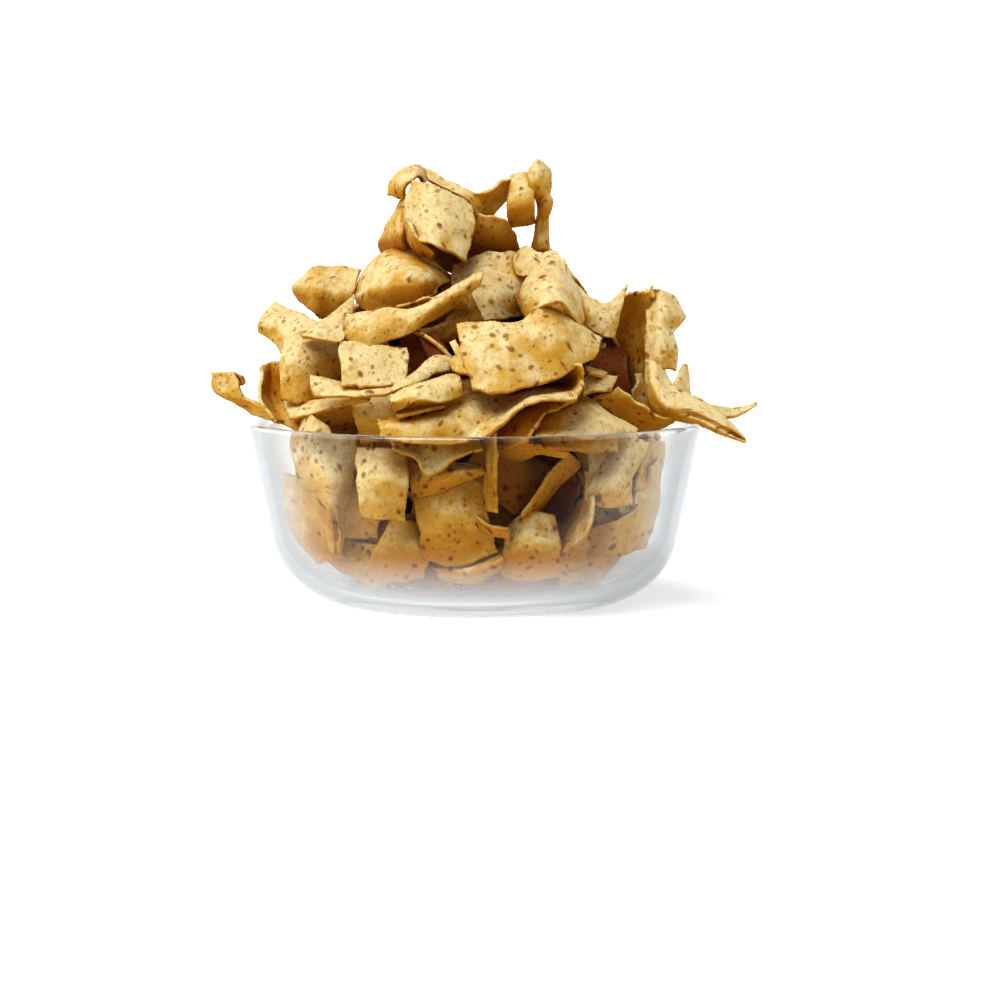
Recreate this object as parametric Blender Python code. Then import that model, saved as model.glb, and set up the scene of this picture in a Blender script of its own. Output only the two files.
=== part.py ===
"""A glass bowl heaped with curled multigrain crisps.

The bowl is one turned solid. The heap is another: a smaller core with the
crisps that show joined to it. Sizes below are in millimetres; the meshes are
in metres, +Z up, and the bowl stands on z = 0 with its axis at the origin.
"""
import math
import random

import bmesh
import bpy
import numpy as np

MM = 0.001

# Sizes of the bowl.
RIM_RADIUS = 80.0
BOWL_HEIGHT = 64.0
WALL = 3.4
FLOOR = 5.0
TAPER = math.radians(11.6)
OUTER_CORNER = 29.0
INNER_CORNER = 25.0
BOWL_SIDES = 50
CORNER_STEPS = 6
LIP_STEPS = 5

# Sizes of the crisps, of the flats they are made of, and of the air between them
# and the glass.
DOUGH = 2.0
AIR = 0.5
FACET_LONG = 12.5
FACET_WIDE = 7.0
MOST_ROWS = 7
MOST_COLUMNS = 3

# The front of the heap is laid out as it looks from this point.
VIEWPOINT = np.array([8.8, -900.0, 127.0])

# How far the heap reaches from the bowl's axis at each height.
HEAP_HEIGHTS = [7, 20, 45, 62, 72, 86, 100, 113, 126, 139, 152]
HEAP_REACHES = [44, 57, 64, 65, 63, 56, 46, 36, 27, 19, 10]
CORE_HEIGHTS = [9, 19, 33, 47, 60, 73, 86, 99, 112, 125, 137]
CORE_SIDES = 13
CORE_WINDOW = 9.0
CORE_SHARE = 0.42
CORE_AIR = 5.0

# Rings of crisps round the sides and back: height, how many in a whole ring,
# and the half angle of the front sector that the ring leaves free.
RINGS = [
    (18, 7, 66), (34, 8, 66), (51, 9, 66), (68, 9, 64), (83, 8, 66),
    (99, 7, 72), (112, 5, 84),
]
RING_SEED = 11
RING_PROUD = 12.0
SIDE_ANGLE = 115
LYING_BELOW = 25

# Crisps of the front that lie over the rim.
OVER_RIM = ("hook_left", "swoop", "horn")


def lip_centre():
    """Middle of the round lip, as radius and height."""
    return RIM_RADIUS - WALL / 2, BOWL_HEIGHT - WALL / 2


def corner_centre(corner, floor, side):
    """Middle of the round corner that joins a floor to the outer (1) or inner (-1) wall."""
    lip_radius, lip_height = lip_centre()
    height = floor + corner
    reach = side * WALL / 2 - corner + math.sin(TAPER) * (height - lip_height)
    return lip_radius + reach / math.cos(TAPER), height


def arc(centre, radius, start, end, steps):
    """Points on an arc in the (radius, height) plane."""
    angles = np.linspace(start, end, steps + 1)
    return [(centre[0] + radius * math.cos(a), centre[1] + radius * math.sin(a)) for a in angles]


def bowl_outline():
    """Half section of the bowl, from the middle of its foot over the lip to its floor."""
    outer = corner_centre(OUTER_CORNER, 0.0, 1)
    inner = corner_centre(INNER_CORNER, FLOOR, -1)
    down = -math.pi / 2
    points = [(0.0, 0.0)]
    points += arc(outer, OUTER_CORNER, down, -TAPER, CORNER_STEPS)
    points += arc(lip_centre(), WALL / 2, -TAPER, math.pi - TAPER, LIP_STEPS)
    points += arc(inner, INNER_CORNER, -TAPER, down, CORNER_STEPS)
    points.append((0.0, FLOOR))
    return points


def free_radius(height):
    """Radius of the space inside the bowl at each height, open above the rim."""
    centre_radius, centre_height = corner_centre(INNER_CORNER, FLOOR, -1)
    lip_radius, lip_height = lip_centre()
    wall = lip_radius - WALL / 2 / math.cos(TAPER) + (height - lip_height) * math.tan(TAPER)
    drop = np.clip((centre_height - height) / INNER_CORNER, 0, 1)
    corner = centre_radius + INNER_CORNER * np.sqrt(1 - drop ** 2)
    turn_height = centre_height - INNER_CORNER * math.sin(TAPER)
    return np.where(height < turn_height, corner, wall)


def principled(name, colour, roughness, transmission=0.0):
    """A Principled BSDF material."""
    material = bpy.data.materials.new(name)
    material.use_nodes = True
    shader = material.node_tree.nodes["Principled BSDF"]
    shader.inputs["Base Color"].default_value = (*colour, 1.0)
    shader.inputs["Roughness"].default_value = roughness
    shader.inputs["Metallic"].default_value = 0.0
    shader.inputs["Transmission Weight"].default_value = transmission
    return material


def add_object(name, bm, collection):
    """Turn a bmesh into an object, with its triangles pointing out."""
    bmesh.ops.triangulate(bm, faces=bm.faces[:])
    bmesh.ops.recalc_face_normals(bm, faces=bm.faces[:])
    mesh = bpy.data.meshes.new(name)
    bm.to_mesh(mesh)
    bm.free()
    obj = bpy.data.objects.new(name, mesh)
    collection.objects.link(obj)
    return obj


def make_bowl():
    """Turn the half section round the bowl's axis."""
    bm = bmesh.new()
    verts = [bm.verts.new((r * MM, 0, z * MM)) for r, z in bowl_outline()]
    edges = [bm.edges.new(pair) for pair in zip(verts, verts[1:])]
    bmesh.ops.spin(
        bm, geom=verts + edges, cent=(0, 0, 0), axis=(0, 0, 1),
        angle=2 * math.pi, steps=BOWL_SIDES, use_merge=True,
    )
    bmesh.ops.remove_doubles(bm, verts=bm.verts[:], dist=0.01 * MM)
    bowl = add_object("bowl", bm, bpy.context.scene.collection)
    bowl.data.shade_smooth()
    bowl.data.set_sharp_from_angle(angle=math.radians(40))
    bowl.data.materials.append(principled("clear_glass", (0.93, 0.96, 0.95), 0.03, 1.0))
    return bowl


def unit(vectors):
    """Vectors of length one."""
    return vectors / np.linalg.norm(vectors, axis=-1, keepdims=True)


def along_curve(values, shares):
    """Read a smooth curve through evenly spaced values; it runs on straight past its ends."""
    v = np.atleast_2d(np.asarray(values, float).T).T
    if len(v) == 1:
        return np.repeat(v, len(shares), 0)
    v = np.vstack([2 * v[0] - v[1], v, 2 * v[-1] - v[-2]])
    place = np.asarray(shares) * (len(v) - 3)
    span = np.clip(np.floor(place).astype(int), 0, len(v) - 4)
    within = np.clip(place - span, 0, 1)[:, None]
    beyond = (place - span)[:, None] - within
    a, b, c, d = v[span], v[span + 1], v[span + 2], v[span + 3]
    first = c - a
    second = 2 * a - 5 * b + 4 * c - d
    third = 3 * b - a - 3 * c + d
    value = 0.5 * (2 * b + first * within + second * within ** 2 + third * within ** 3)
    slope = 0.5 * (first + 2 * second * within + 3 * third * within ** 2)
    return value + slope * beyond


def seen_at(x, z, depth):
    """The point at this depth (y) that shows at (x, z) from the viewpoint."""
    shown = np.array([x, 0.0, z])
    return shown + (VIEWPOINT - shown) * (depth / VIEWPOINT[1])


def sheet(net):
    """Grid of points in the middle of a crisp's dough: a smooth surface through a net of points."""
    net = np.asarray(net, float)
    length = np.linalg.norm(np.diff(net, axis=0), axis=2).sum(0).max()
    width = np.linalg.norm(np.diff(net, axis=1), axis=2).sum(1).max()
    rows = int(np.clip(round(length / FACET_LONG), 2, MOST_ROWS))
    columns = int(np.clip(round(width / FACET_WIDE), 1, MOST_COLUMNS))
    down = np.linspace(0, 1, rows + 1)
    sides = np.linspace(0, 1, columns + 1)
    lines = np.stack([along_curve(net[:, k], down) for k in range(net.shape[1])], 1)
    return np.stack([along_curve(line, sides) for line in lines])


def clear_of_glass(grid, over_rim=False):
    """Keep a crisp off the bowl.

    Points that would touch the wall move in towards the axis, or, on a crisp
    that lies over the rim, up above the lip.
    """
    grid = grid.copy()
    room = AIR + DOUGH / 2
    grid[..., 2] = np.maximum(grid[..., 2], FLOOR + room)
    radius = np.hypot(grid[..., 0], grid[..., 1])
    limit = free_radius(grid[..., 2]) - room - 0.3
    above = grid[..., 2] >= BOWL_HEIGHT + room
    crosses = ~above & (radius > limit)
    if over_rim:
        over_wall = crosses & (radius < RIM_RADIUS + WALL)
        grid[..., 2] = np.where(over_wall, BOWL_HEIGHT + room, grid[..., 2])
    else:
        scale = np.where(crosses, limit / np.maximum(radius, 1), 1)
        grid[..., :2] *= scale[..., None]
    return grid


def baked(name, grid, collection):
    """Give a crisp its thickness: a closed solid of triangles about the grid.

    The dough is thinner where points lie close together, so its two faces
    don't cross.
    """
    rows, columns = grid.shape[:2]
    along = np.linalg.norm(np.diff(grid, axis=0), axis=2)
    across = np.linalg.norm(np.diff(grid, axis=1), axis=2)
    room = np.full((rows, columns), DOUGH * 2)
    room[1:] = np.minimum(room[1:], along)
    room[:-1] = np.minimum(room[:-1], along)
    room[:, 1:] = np.minimum(room[:, 1:], across)
    room[:, :-1] = np.minimum(room[:, :-1], across)
    half = (room / 4)[..., None]
    slope_along = np.gradient(grid, axis=0)
    slope_across = np.gradient(grid, axis=1)
    normals = unit(np.cross(slope_along, slope_across))
    bm = bmesh.new()
    sheets = []
    for side in (1, -1):
        points = (grid + normals * half * side) * MM
        sheets.append([[bm.verts.new(points[i, j]) for j in range(columns)] for i in range(rows)])
    for i in range(rows - 1):
        for j in range(columns - 1):
            for sheet in sheets:
                a, b, c, d = sheet[i][j], sheet[i + 1][j], sheet[i + 1][j + 1], sheet[i][j + 1]
                bm.faces.new((a, b, c))
                bm.faces.new((a, c, d))
    border = [(i, 0) for i in range(rows)]
    border += [(rows - 1, j) for j in range(1, columns)]
    border += [(i, columns - 1) for i in range(rows - 2, -1, -1)]
    border += [(0, j) for j in range(columns - 2, 0, -1)]
    top, under = sheets
    for (i, j), (k, m) in zip(border, border[1:] + border[:1]):
        bm.faces.new((top[i][j], top[k][m], under[k][m], under[i][j]))
    return add_object(name, bm, collection)


def front_crisps():
    """The crisps that show from the front, as rows of points (x, z, depth) across each."""
    laid = {}

    def lay(name, *rows):
        laid[name] = sheet([[seen_at(*point) for point in row] for row in rows])

    # Top of the heap.
    lay("diamond",
        [(-22, 148.5, -9), (-12, 145.3, -12), (-0.8, 139.8, -8)],
        [(-25, 138, -13), (-13, 133.5, -20), (-0.6, 130, -14)],
        [(-21.5, 127.5, -19), (-13, 124.5, -24), (-3.5, 119.8, -20)])
    lay("flank",
        [(-25, 139, -13), (-25.8, 133, -8)],
        [(-20.5, 129, -20), (-22.5, 125, -12)],
        [(-14.5, 122, -21), (-15, 119.5, -12)])
    lay("hook",
        [(-30.3, 142.3, -2), (-24.5, 142, -6)],
        [(-29.8, 147.5, -1), (-24, 146, -10)],
        [(-25.5, 152, 0), (-21.5, 148.5, -10)],
        [(-20, 153, 2), (-19.5, 149.5, -6)],
        [(-16.8, 149.5, 4), (-18, 146.3, -2)])
    lay("saddle",
        [(-17.2, 152, -3), (-17, 150, -5), (-16.5, 148, -6)],
        [(-9, 147.2, -4), (-9, 145.8, -6), (-9.5, 144.2, -8)],
        [(-2, 143.7, -4), (-2, 142.3, -7), (-2.5, 140.5, -8)],
        [(4, 144.2, -8), (4.5, 139.5, -4), (2.5, 132.5, -5)],
        [(9.5, 148, -6), (9.5, 143.5, -2), (8.5, 138.2, -3)],
        [(13.7, 148.3, -2), (13.6, 146, 0), (12.8, 143.3, 0)])
    lay("fold",
        [(12.8, 149.2, 0), (16, 150, -3), (19.8, 150.3, -3)],
        [(11.8, 143, -5), (16, 143.5, -9), (20.8, 144, -8)],
        [(11.8, 137, -7), (16, 138, -10), (20.5, 138.5, -8)],
        [(12.5, 132.2, 0), (16.5, 133, -1), (20.8, 133.8, 0)])
    lay("strand",
        [(18.5, 151.5, -7), (22, 155.8, -6), (25.3, 152.5, -3)],
        [(19, 147, -8), (22.7, 149.5, -9), (26.4, 148.5, -4)],
        [(20.5, 143.3, -7), (23.6, 143.5, -8), (26.6, 143.3, -3)],
        [(22.2, 138.5, -2), (24.6, 139.5, -6), (27.4, 139.5, -3)],
        [(21.8, 132, -1), (23.6, 132, -5), (25.4, 133, -2)],
        [(20, 124.3, -1), (23, 123.2, -5), (25.9, 122.2, -2)])
    lay("left_arch",
        [(-26, 141.5, -2), (-22, 143, -10)],
        [(-31.3, 132.5, 0), (-24, 134, -12)],
        [(-33.6, 126, 2), (-25, 127.5, -11)],
        [(-32.8, 120.5, 8), (-22, 121, 2)])
    lay("shade_square",
        [(-1, 137, -5), (5, 136, -7), (10.8, 134.8, -6)],
        [(-1, 128, -3), (6, 128.5, -4), (14.3, 129.3, -2)],
        [(-2, 119, 2), (7, 120, 3), (16.5, 123.3, 3)])

    # Upper middle.
    lay("dome",
        [(-42.3, 109, -9), (-42, 107, -14), (-41, 104.2, -14)],
        [(-36, 119.8, -6), (-35, 111, -24), (-35, 101.8, -22)],
        [(-26, 124.3, -4), (-25, 114.5, -31), (-27, 102.5, -27)],
        [(-16.5, 121, -2), (-16.5, 114.5, -29), (-20, 104.5, -30)],
        [(-7, 112.5, -6), (-10.5, 112, -19), (-14.5, 109.5, -27)])
    lay("pale_panel",
        [(-6.8, 121.5, -6), (4, 122.5, -8), (14.5, 123, -4)],
        [(-8.3, 112, -15), (4, 111, -18), (18.5, 112, -11)],
        [(-4, 98.8, -20), (6, 98.8, -21), (19, 100.3, -13)])
    lay("flap",
        [(13.5, 121, -8), (14.5, 115, -13)],
        [(17.5, 125, -8), (18, 114.5, -19)],
        [(22.5, 122.6, -14), (24, 114.5, -22)],
        [(28, 123.7, -14), (30, 114.5, -22)],
        [(31.3, 119.5, -18), (33, 112, -22)])
    lay("tail",
        [(31.5, 121, -13), (29, 117, -17), (26.5, 112.5, -19)],
        [(35, 113, -21), (35, 107.5, -26), (34.5, 102, -26)],
        [(41, 106.6, -24), (41, 101.5, -29), (40.5, 96.3, -29)],
        [(47, 105, -22), (46, 99.5, -28), (45, 93.6, -30)],
        [(53.8, 112.2, -14), (51.7, 103, -22), (48.5, 92.6, -26)])
    lay("roll",
        [(18.5, 99.5, -44), (17.2, 101.5, -38), (16.2, 103, -30)],
        [(20.5, 101.8, -47), (17.3, 107, -41), (16.3, 109, -32)],
        [(25, 104, -50), (21.8, 111, -44), (20.3, 115.6, -32)],
        [(30, 105.2, -50), (29, 112.5, -43), (27.5, 117.2, -32)],
        [(33.5, 101.5, -46), (34.7, 107, -38), (35, 112, -30)],
        [(36, 96, -40), (38.2, 99, -34), (39, 101.5, -26)])
    lay("roll_under",
        [(20, 99, -36), (19, 107, -24)],
        [(27, 97, -30), (27, 108, -20)],
        [(34, 96, -34), (35, 104, -24)])
    lay("long_twist",
        [(-45, 100.8, -31), (-46, 97.5, -34), (-46.3, 92.2, -29)],
        [(-35, 102.7, -37), (-36, 97.5, -41), (-38, 89.8, -33)],
        [(-21, 103.6, -39), (-22, 100, -42), (-25, 93.5, -34)],
        [(-11, 108.8, -37), (-11, 106, -40), (-12, 101, -38)],
        [(3, 115.6, -32), (2.8, 114.6, -34), (1.5, 111.2, -35)])
    lay("dark_panel",
        [(-28, 104, -32), (-26, 92, -20)],
        [(-16, 107, -34), (-14, 92, -18)],
        [(-3, 106, -34), (-3, 90, -18)])
    lay("thin_shade",
        [(-22, 96, -36), (-19, 94.5, -42)],
        [(-15.5, 91.5, -38), (-12.5, 90, -43)],
        [(-9, 87, -40), (-7.5, 85, -44)])
    lay("splinter",
        [(-9.3, 91.3, -50), (-7.3, 92.5, -50)],
        [(-7, 88.5, -53), (-5, 89.7, -53)],
        [(-6, 85.5, -56), (-4.3, 86, -56)])

    # Left.
    lay("wide_leaf",
        [(-61.5, 113.8, -2), (-63.5, 110.5, -4), (-61.3, 107, -2)],
        [(-56, 117.7, -6), (-57, 110.5, -13), (-57, 102.4, -10)],
        [(-49, 117.9, -5), (-50, 109, -13), (-52, 99.6, -11)],
        [(-40, 116.6, -4), (-42, 110, -12), (-45, 103, -13)])
    lay("left_wing",
        [(-76.3, 95.2, -4), (-75.8, 98.8, -5), (-70.5, 105.3, 0)],
        [(-70, 90.7, -12), (-68, 96.5, -14), (-61.5, 101, -8)],
        [(-67, 84, -22), (-62, 92, -29), (-53, 97.5, -26)])
    lay("pale_flap",
        [(-62, 94.4, -34), (-60.5, 93.6, -36)],
        [(-53, 99.3, -30), (-54, 92.2, -39)],
        [(-47, 103.2, -26), (-47.5, 90.8, -38)],
        [(-42.6, 107.7, -22), (-43.8, 97.5, -30)])
    lay("gold_panel",
        [(-66.8, 92, -27), (-60, 95.4, -28), (-48, 94, -26)],
        [(-68.6, 83, -34), (-61, 83, -37), (-47, 83, -26)],
        [(-68, 70.6, -37), (-60, 69.6, -38), (-46, 71, -24)])
    lay("square",
        [(-47.8, 91.8, -51), (-36, 90.2, -51), (-23.7, 89.3, -49)],
        [(-47.7, 84, -55), (-36, 83.7, -55), (-23.7, 83.5, -53)],
        [(-46.8, 75.8, -58), (-36, 75.3, -58), (-25, 77.3, -57)])
    lay("thin_left",
        [(-58.7, 79, -48), (-58.7, 76.3, -52), (-57, 72, -54)],
        [(-46, 76.6, -52), (-46, 74.6, -57), (-46, 72, -59)],
        [(-36, 75.9, -54), (-36, 74.4, -59), (-36, 72.6, -61)],
        [(-28, 76.3, -54), (-28, 75, -58), (-29, 73.4, -60)])
    lay("thin_rise",
        [(-29, 76, -56), (-29, 75, -60), (-29.7, 73.6, -62)],
        [(-20, 81.9, -50), (-20, 79.5, -56), (-20, 76.8, -58)],
        [(-13.5, 86.7, -45), (-13.5, 84, -51), (-14, 80.5, -54)],
        [(-8.3, 85.3, -44), (-8.3, 83.5, -48), (-9, 81.3, -50)])
    lay("rim_band",
        [(-67.5, 70.6, -32), (-67, 67.5, -36), (-65.5, 64, -38)],
        [(-58, 70.2, -37), (-57.5, 68, -42), (-58, 65.3, -44)],
        [(-47, 72.3, -42), (-47.5, 70.8, -47), (-48, 68.6, -49)],
        [(-37, 74, -46), (-37.5, 73, -50), (-38, 71.3, -52)])
    lay("rim_shade",
        [(-65, 66, -36), (-52, 70, -38), (-36, 73, -40)],
        [(-62, 57, -24), (-50, 57, -20), (-34, 57, -20)])
    lay("rim_chip",
        [(-63, 59.5, -40), (-60.3, 66.8, -40)],
        [(-57, 59.3, -48), (-56.5, 65.2, -46)],
        [(-50, 58.6, -50), (-51.5, 61.5, -49)])
    lay("hook_left",
        [(-92.9, 80.6, -4), (-84.3, 81, -8)],
        [(-91.8, 74.3, -6), (-83.3, 76, -12)],
        [(-86, 70.7, -9), (-81.8, 72, -14)],
        [(-78, 65.7, -15), (-76, 69.6, -18)],
        [(-69, 62.8, -26), (-67, 66.3, -25)],
        [(-62, 60.5, -36), (-60, 64, -33)])
    lay("hook_tip",
        [(-85.5, 81, -8), (-84.6, 78.7, -9)],
        [(-82.5, 79.6, -7), (-83, 77.7, -8)],
        [(-81, 77, -7), (-82.4, 76, -8)])
    lay("ear",
        [(-75.8, 83, -12), (-71.5, 84.2, -6), (-66, 85, -16)],
        [(-76.1, 75, -24), (-72.5, 75, -10), (-65, 76, -16)],
        [(-74.8, 68.3, -32), (-71, 67, -18), (-64, 67, -20)],
        [(-70.7, 63.2, -36), (-68, 63, -28), (-64, 63, -26)])

    # Centre.
    lay("wing",
        [(-5.9, 97.6, -48), (-4.9, 88, -58), (-0.7, 74.6, -62)],
        [(5, 98.8, -50), (6, 88.5, -61), (8, 73, -62)],
        [(15, 98.3, -50), (17, 90.5, -61), (18, 75, -58)],
        [(24.5, 104.2, -44), (27, 93.5, -58), (28, 78, -55)],
        [(36, 97.7, -42), (36.5, 91, -52), (36, 83, -50)],
        [(44.7, 93, -38), (43.8, 90, -43), (41.5, 85.6, -44)])
    lay("long_curl",
        [(-34.6, 64, -56), (-34, 61.5, -61), (-33, 57, -63)],
        [(-20, 67.6, -57), (-20, 62.5, -66), (-19, 55.5, -67)],
        [(-6, 73, -54), (-5, 65.5, -66), (-3, 56, -68)],
        [(6, 79, -48), (7, 70, -52), (8, 61.2, -71)],
        [(18, 82, -50), (18, 75, -39), (19, 70.3, -70)],
        [(29, 83, -50), (29, 77, -37), (29, 71.2, -70)],
        [(37.5, 84, -57), (37.9, 77, -57), (36, 70.6, -66)])
    lay("under_arch",
        [(5.5, 59, -46), (8, 57.5, -56), (11, 54, -62)],
        [(11, 65.3, -42), (14, 62, -58), (17, 56, -66)],
        [(18, 69, -40), (19, 66.5, -57), (20.8, 60.5, -66)],
        [(26, 70.2, -40), (25, 69.5, -53), (24, 66, -62)],
        [(36, 70.6, -42), (33, 70, -50), (29.5, 67.5, -56)])
    lay("front_leaf",
        [(21.3, 65, -56), (20.6, 62, -62), (21.5, 58.2, -64)],
        [(28, 70.3, -50), (29, 64.5, -61), (29, 57.2, -64)],
        [(38, 72.1, -44), (39, 65, -56), (39, 57.2, -60)],
        [(47, 66.3, -42), (48, 62.5, -50), (48, 58.2, -53)],
        [(57.3, 60, -38), (56.7, 59, -41), (55.5, 57.2, -42)])
    lay("small_bar",
        [(-30.5, 72.3, -60), (-30, 70, -66), (-28.3, 66.3, -62)],
        [(-20, 76.6, -62), (-20, 73.8, -69), (-20, 70.7, -70)],
        [(-12.5, 79, -60), (-12.3, 75, -68), (-12.5, 69.6, -70)],
        [(-5.6, 80.1, -58), (-5, 76.5, -64), (-4.8, 72.7, -64)])
    lay("bar_shade",
        [(-29.3, 69, -58), (-28.3, 65.4, -64)],
        [(-20, 71.5, -56), (-19, 67, -65)],
        [(-12, 70.5, -58), (-11, 68.7, -64)])
    lay("chip",
        [(-9, 84.6, -53), (-7.6, 81.2, -57)],
        [(-5, 87.5, -54), (-5.5, 80.2, -61)],
        [(-2, 86, -58), (-1.5, 79.5, -63)])

    # Right.
    lay("tall_inner",
        [(51.3, 107.8, -10), (56, 109.3, -12), (61.5, 108.8, -16)],
        [(48.5, 96, -4), (55, 97, -4), (61.5, 97, -13)],
        [(44.5, 84, 2), (53, 84, 3), (61.5, 83, -12)],
        [(45, 72, 0), (54, 72, 3), (63.5, 72, -15)],
        [(50, 60.5, -10), (59, 60.5, -8), (67, 62.5, -22)])
    lay("tall_lobe",
        [(60.6, 109.8, -8), (65, 109.1, -12), (70, 107, -6)],
        [(60.3, 102, -14), (67, 102.5, -18), (74.3, 99.7, -10)],
        [(60.3, 95.5, -18), (65, 95.5, -21), (69.2, 94.9, -16)],
        [(60.3, 89, -20), (65.5, 89, -23), (70.6, 88.8, -18)],
        [(60.8, 83.6, -22), (65.5, 82.3, -24), (70.3, 81.6, -20)])
    lay("lobe_spike",
        [(60.8, 107, -15), (63.3, 107, -16)],
        [(61.7, 110.9, -14), (62.8, 110.9, -14)])
    lay("swoop",
        [(60.8, 85, -22), (63, 84.3, -26), (65.8, 82.3, -22)],
        [(61, 74.5, -28), (64, 76, -32), (69.2, 77.2, -25)],
        [(65.3, 65.5, -32), (69, 69, -36), (75.5, 72.5, -27)],
        [(78, 62.5, -31), (80, 65, -34), (84, 68.3, -27)],
        [(88, 58.5, -30), (88.5, 61, -32), (89, 64.8, -28)],
        [(95.6, 55.7, -29), (95.7, 56.8, -29), (95.2, 58, -29)])
    lay("horn",
        [(62.5, 70, -24), (64, 75, -20)],
        [(74, 66, -27), (76, 72.6, -24)],
        [(84, 65.3, -24), (84, 69, -20)],
        [(91.5, 65, -19), (91.5, 67.7, -15)],
        [(99.6, 69.2, -12), (99, 70.3, -12)])
    lay("fin",
        [(68.5, 73.5, -30), (75, 69.5, -28)],
        [(70.3, 76.8, -25), (76, 73, -22)],
        [(72.1, 80.5, -21), (75.5, 78, -18)],
        [(73.6, 84, -17), (74.9, 83.3, -17)])
    lay("dark_cup",
        [(42, 71.5, -36), (51, 76, -36)],
        [(52, 64, -28), (58, 70, -36)],
        [(62, 60.8, -24), (66, 64.5, -34)],
        [(70.5, 63.3, -30), (71.5, 65, -33)])
    lay("shard",
        [(38, 78, -40), (38, 72.5, -46)],
        [(44, 80, -38), (43, 74, -44)],
        [(50, 79, -34), (48.5, 74, -38)])
    lay("shard_edge",
        [(38.5, 83, -42), (39, 80.8, -46)],
        [(46, 80, -38), (45.5, 78.6, -42)])

    # Behind the glass.
    lay("glass_kite",
        [(-65, 58.5, -26), (-54, 58.5, -38), (-42, 57.5, -38)],
        [(-63.3, 48, -32), (-53, 46, -46), (-42.3, 47, -40)],
        [(-57.5, 36, -38), (-51, 34, -49), (-45.3, 37, -40)],
        [(-52.7, 25, -41), (-49, 25, -46), (-46.6, 25, -40)],
        [(-50.7, 17, -40), (-49, 16.5, -43), (-47.3, 17, -40)])
    lay("far_left",
        [(-67.5, 45, -10), (-61, 43, -22)],
        [(-67.5, 34, -12), (-56, 34, -28)],
        [(-63.5, 22, -16), (-51, 22, -34)],
        [(-55.5, 13, -22), (-46, 15, -34)])
    lay("low_left",
        [(-49, 31, -22), (-40, 32, -26), (-29, 30, -34)],
        [(-49, 20, -24), (-40, 20, -28), (-31, 20, -36)],
        [(-43, 9.5, -24), (-37, 9.5, -28), (-29, 10, -34)])
    lay("glass_square",
        [(-42, 54.2, -46), (-33, 54, -50), (-25, 52.4, -48)],
        [(-41.7, 42, -55), (-33, 42, -58), (-23.7, 42, -56)],
        [(-39.8, 28.8, -55), (-33, 28.2, -58), (-25, 27.6, -56)])
    lay("glass_vee",
        [(-30, 59, -54), (-29.3, 53.2, -58)],
        [(-21, 59, -55), (-20.5, 50, -62)],
        [(-14, 58.5, -57), (-16, 44, -61)],
        [(-6, 57.8, -60), (-7, 50.6, -65)],
        [(2.8, 55.3, -61), (2.3, 53.5, -63)])
    lay("glass_leaf",
        [(-22.4, 48, -46), (-22.8, 43, -50), (-22, 36.6, -47)],
        [(-14, 48.7, -49), (-14, 43.5, -55), (-14, 37.7, -49)],
        [(-4, 48, -53), (-4, 45.5, -58), (-4, 42.5, -52)],
        [(3.1, 47.3, -56), (3.7, 46, -57), (3.2, 44.7, -56)])
    lay("glass_big",
        [(-22.3, 40, -44), (-9, 43, -48), (3, 44, -46)],
        [(-20.3, 28, -48), (-7, 28, -53), (4.3, 30, -50)],
        [(-17.5, 14.2, -44), (-5, 11.8, -48), (8.3, 17, -48)])
    lay("glass_low_left",
        [(-29.7, 28.3, -42), (-25, 28.8, -44), (-19, 27.5, -42)],
        [(-36.8, 15.2, -42), (-27, 17, -46), (-16.5, 16, -44)],
        [(-40, 5, -32), (-30, 6, -37), (-18.5, 8, -40)])
    lay("glass_band",
        [(-15, 13.3, -36), (-15, 10.5, -42), (-13, 6.8, -36)],
        [(-2, 14, -40), (-2, 10, -48), (-2, 5.6, -40)],
        [(6, 16.8, -42), (8, 13, -49), (5.5, 8.8, -44)],
        [(9.4, 18.8, -41), (11, 15, -45), (10.2, 11.8, -43)])
    lay("glass_post",
        [(4.4, 60, -52), (7.8, 60, -63)],
        [(4, 48, -54), (7.6, 48, -64)],
        [(2.5, 38, -48), (7.4, 38, -60)],
        [(1.5, 32.5, -46), (7.3, 30.7, -58)])
    lay("glass_diagonal",
        [(16, 30, -50), (20, 29.5, -40)],
        [(21.3, 37.8, -52), (26, 35.5, -40)],
        [(26.7, 45.8, -52), (32, 42, -40)],
        [(33, 52.5, -50), (37, 48, -38)])
    lay("glass_centre",
        [(11, 25.6, -44), (18, 31.7, -47), (28.3, 30, -46)],
        [(9.7, 17, -48), (19, 19, -54), (30.2, 18.5, -50)],
        [(9.2, 9, -42), (19, 6.6, -46), (32, 8, -44)])
    lay("glass_stem",
        [(-1.3, 32, -50), (1, 26.6, -50)],
        [(5, 27, -54), (6, 23.5, -52)],
        [(12, 25.7, -54), (12, 22.2, -52)])
    lay("glass_arc",
        [(42, 37, -52), (37.5, 36, -38)],
        [(41.7, 29, -56), (34, 31, -34)],
        [(38.2, 21.3, -56), (30, 25, -34)],
        [(30.3, 15.7, -50), (27.5, 20, -34)])
    lay("glass_pale",
        [(50, 58, -34), (55, 57.5, -36), (60.8, 56, -26)],
        [(45.3, 48.5, -43), (51, 47, -45), (57.2, 47, -36)],
        [(40.8, 42, -48), (48, 40, -50), (54.9, 41, -42)],
        [(38.2, 35.4, -48), (46, 32.7, -50), (55.6, 33.8, -44)])
    lay("low_right",
        [(41, 25.8, -33), (38, 15.7, -33)],
        [(49, 28.3, -37), (46, 15.2, -37)],
        [(57.3, 33.8, -30), (52.7, 17.7, -33)])
    lay("far_right",
        [(66, 45, -8), (57, 43, -22)],
        [(64.5, 32, -12), (55.5, 30, -28)],
        [(59.5, 18, -16), (50.5, 15.5, -30)])
    lay("rim_right",
        [(67, 56, -6), (61, 57.5, -22)],
        [(66.5, 46, -8), (58.5, 46, -24)],
        [(62, 38.5, -14), (56.5, 39, -26)])
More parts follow.
